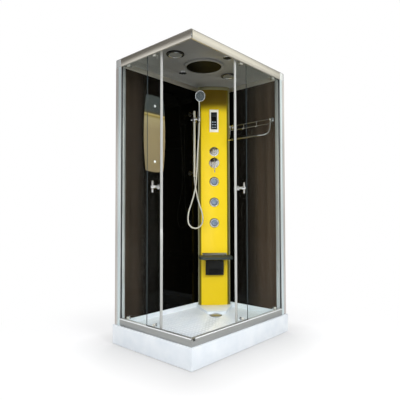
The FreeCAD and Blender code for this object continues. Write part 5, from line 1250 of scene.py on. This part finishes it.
# how bright the paper is by its distance from the tray's footprint
def contactShade(tree, place):
    centre, half, reach, depth = studio["shade"]
    offset = addNode(tree, "VectorMath", {"operation": "SUBTRACT", 1: (*centre, 0.0)}, {0: place})
    size = addNode(tree, "VectorMath", {"operation": "ABSOLUTE"}, {0: offset.outputs[0]})
    past = addNode(tree, "VectorMath", {"operation": "SUBTRACT", 1: (*half, 0.0)}, {0: size.outputs[0]})
    outside = addNode(tree, "VectorMath", {"operation": "MAXIMUM", 1: (0.0, 0.0, 0.0)},
                      {0: past.outputs[0]})
    away = addNode(tree, "VectorMath", {"operation": "LENGTH"}, {0: outside.outputs[0]})
    return addNode(tree, "MapRange", {"From Max": reach, "To Min": depth},
                   {"Value": away.outputs["Value"]}).outputs[0]


def makeFloor():
    deselectAll()
    bpy.ops.mesh.primitive_plane_add(size=studio["floor"], location=(0, 0, 0))
    floor = bpy.context.object
    floor.name = "studioFloor"
    paper = bpy.data.materials.new("studioPaper")
    paper.use_nodes = True
    tree = paper.node_tree
    tree.nodes.clear()
    coords = addNode(tree, "TexCoord")
    shade = contactShade(tree, coords.outputs["Object"])
    matt = addNode(tree, "BsdfDiffuse", links={"Color": mixColour(tree, shade, (0.0, 0.0, 0.0, 1.0),
                                                                  linearColour(studio["paper"]))})
    glow = addNode(tree, "Emission", {"Strength": studio["glow"]}, {"Color": shade})
    shadowed = addNode(tree, "AddShader", links={0: matt.outputs[0], 1: glow.outputs[0]})
    white = addNode(tree, "Emission", {"Color": (1, 1, 1, 1), "Strength": 1.0})
    reach = addNode(tree, "VectorMath", {"operation": "LENGTH"}, {0: coords.outputs["Object"]})
    far = addNode(tree, "MapRange", {"interpolation_type": "SMOOTHSTEP", "From Min": studio["clearFrom"],
                                     "From Max": studio["clearTo"]}, {"Value": reach.outputs["Value"]})
    seenFloor = addNode(tree, "MixShader",
                        links={0: far.outputs[0], 1: shadowed.outputs[0], 2: white.outputs[0]})
    plain = addNode(tree, "BsdfDiffuse", {"Color": linearColour(studio["plainPaper"])})
    rays = addNode(tree, "LightPath")
    direct = addNode(tree, "Math", {"operation": "MAXIMUM"}, {0: rays.outputs["Is Camera Ray"],
                                                              1: rays.outputs["Is Transmission Ray"]})
    mirrored = addNode(tree, "Math", {"operation": "MULTIPLY", 1: studio["mirroredFloor"]},
                       {0: rays.outputs["Is Glossy Ray"]})
    shown = addNode(tree, "Math", {"operation": "MAXIMUM"}, {0: direct.outputs[0], 1: mirrored.outputs[0]})
    surface = addNode(tree, "MixShader",
                      links={0: shown.outputs[0], 1: plain.outputs[0], 2: seenFloor.outputs[0]})
    addNode(tree, "OutputMaterial", links={"Surface": surface.outputs[0]})
    floor.data.materials.append(paper)


def makeWorld():
    world = bpy.data.worlds.new("studioWorld")
    bpy.context.scene.world = world
    world.use_nodes = True
    tree = world.node_tree
    tree.nodes.clear()
    direction = addNode(tree, "TexCoord").outputs["Generated"]
    rise = addNode(tree, "SeparateXYZ", links={0: direction}).outputs["Z"]
    low, high = studio["lid"]
    lid = addNode(tree, "MapRange", {"From Min": low, "From Max": high}, {"Value": rise})
    mirrored = mixColour(tree, lid.outputs[0], linearColour(studio["room"]), (1.0, 1.0, 1.0, 1.0))
    for azimuth, half, foot, head, bright, tint in studio["boxes"]:
        met = softBox(tree, direction, rise, azimuth, half, foot, head)
        lit = tuple(part * bright for part in linearColour(tint)[:3]) + (1.0,)
        mirrored = mixColour(tree, met, mirrored, lit)
    rays = addNode(tree, "LightPath")
    bounced = addNode(tree, "Math", {"operation": "GREATER_THAN", 1: 0.5},
                      {0: rays.outputs["Glossy Depth"]})
    scattered = addNode(tree, "Math", {"operation": "GREATER_THAN", 1: 0.5},
                        {0: rays.outputs["Diffuse Depth"]})
    shown = mixColour(tree, bounced.outputs[0], (1.0, 1.0, 1.0, 1.0), mirrored)
    ambient = studio["ambient"]
    shown = mixColour(tree, scattered.outputs[0], shown, (ambient, ambient, ambient, 1.0))
    sky = addNode(tree, "Background", links={"Color": shown})
    addNode(tree, "OutputWorld", links={"Surface": sky.outputs[0]})


def makeLamps():
    # name, place, aim, size in metres and power in watts; the last two light the basin and the column
    lamps = (("keyLamp", (-900, -3400, 2620), (100, 0, 1000), (1.6, 0.45), 68),
             ("fillLamp", (-3800, 300, 2300), (0, 0, 1000), (2.4, 2.4), 34),
             ("topLamp", (0, 0, 4600), (0, 0, 0), (3.0, 3.0), 60),
             ("backLamp", (2800, 2800, 2400), (0, 0, 1000), (2.4, 2.4), 50),
             ("basinLamp", (-150, -80, 900), (-150, -80, 0), (0.9, 0.5), 2.2),
             ("columnLamp", (-160, -140, 1150), (453, 278, 1050), (0.3, 1.2), 2.4))
    for name, place, aim, size, power in lamps:
        lamp = bpy.data.lights.new(name, "AREA")
        lamp.shape = "RECTANGLE"
        lamp.size, lamp.size_y = size
        lamp.energy = power
        holder = bpy.data.objects.new(name, lamp)
        bpy.context.collection.objects.link(holder)
        holder.location = mm(place)
        holder.rotation_mode = "QUATERNION"
        holder.rotation_quaternion = (mm(aim) - mm(place)).to_track_quat("-Z", "Y")
        holder.visible_glossy = holder.visible_transmission = holder.visible_camera = False


makeFloor()
makeWorld()
makeLamps()
bpy.context.scene.view_settings.view_transform = "Standard"
print("studio made")
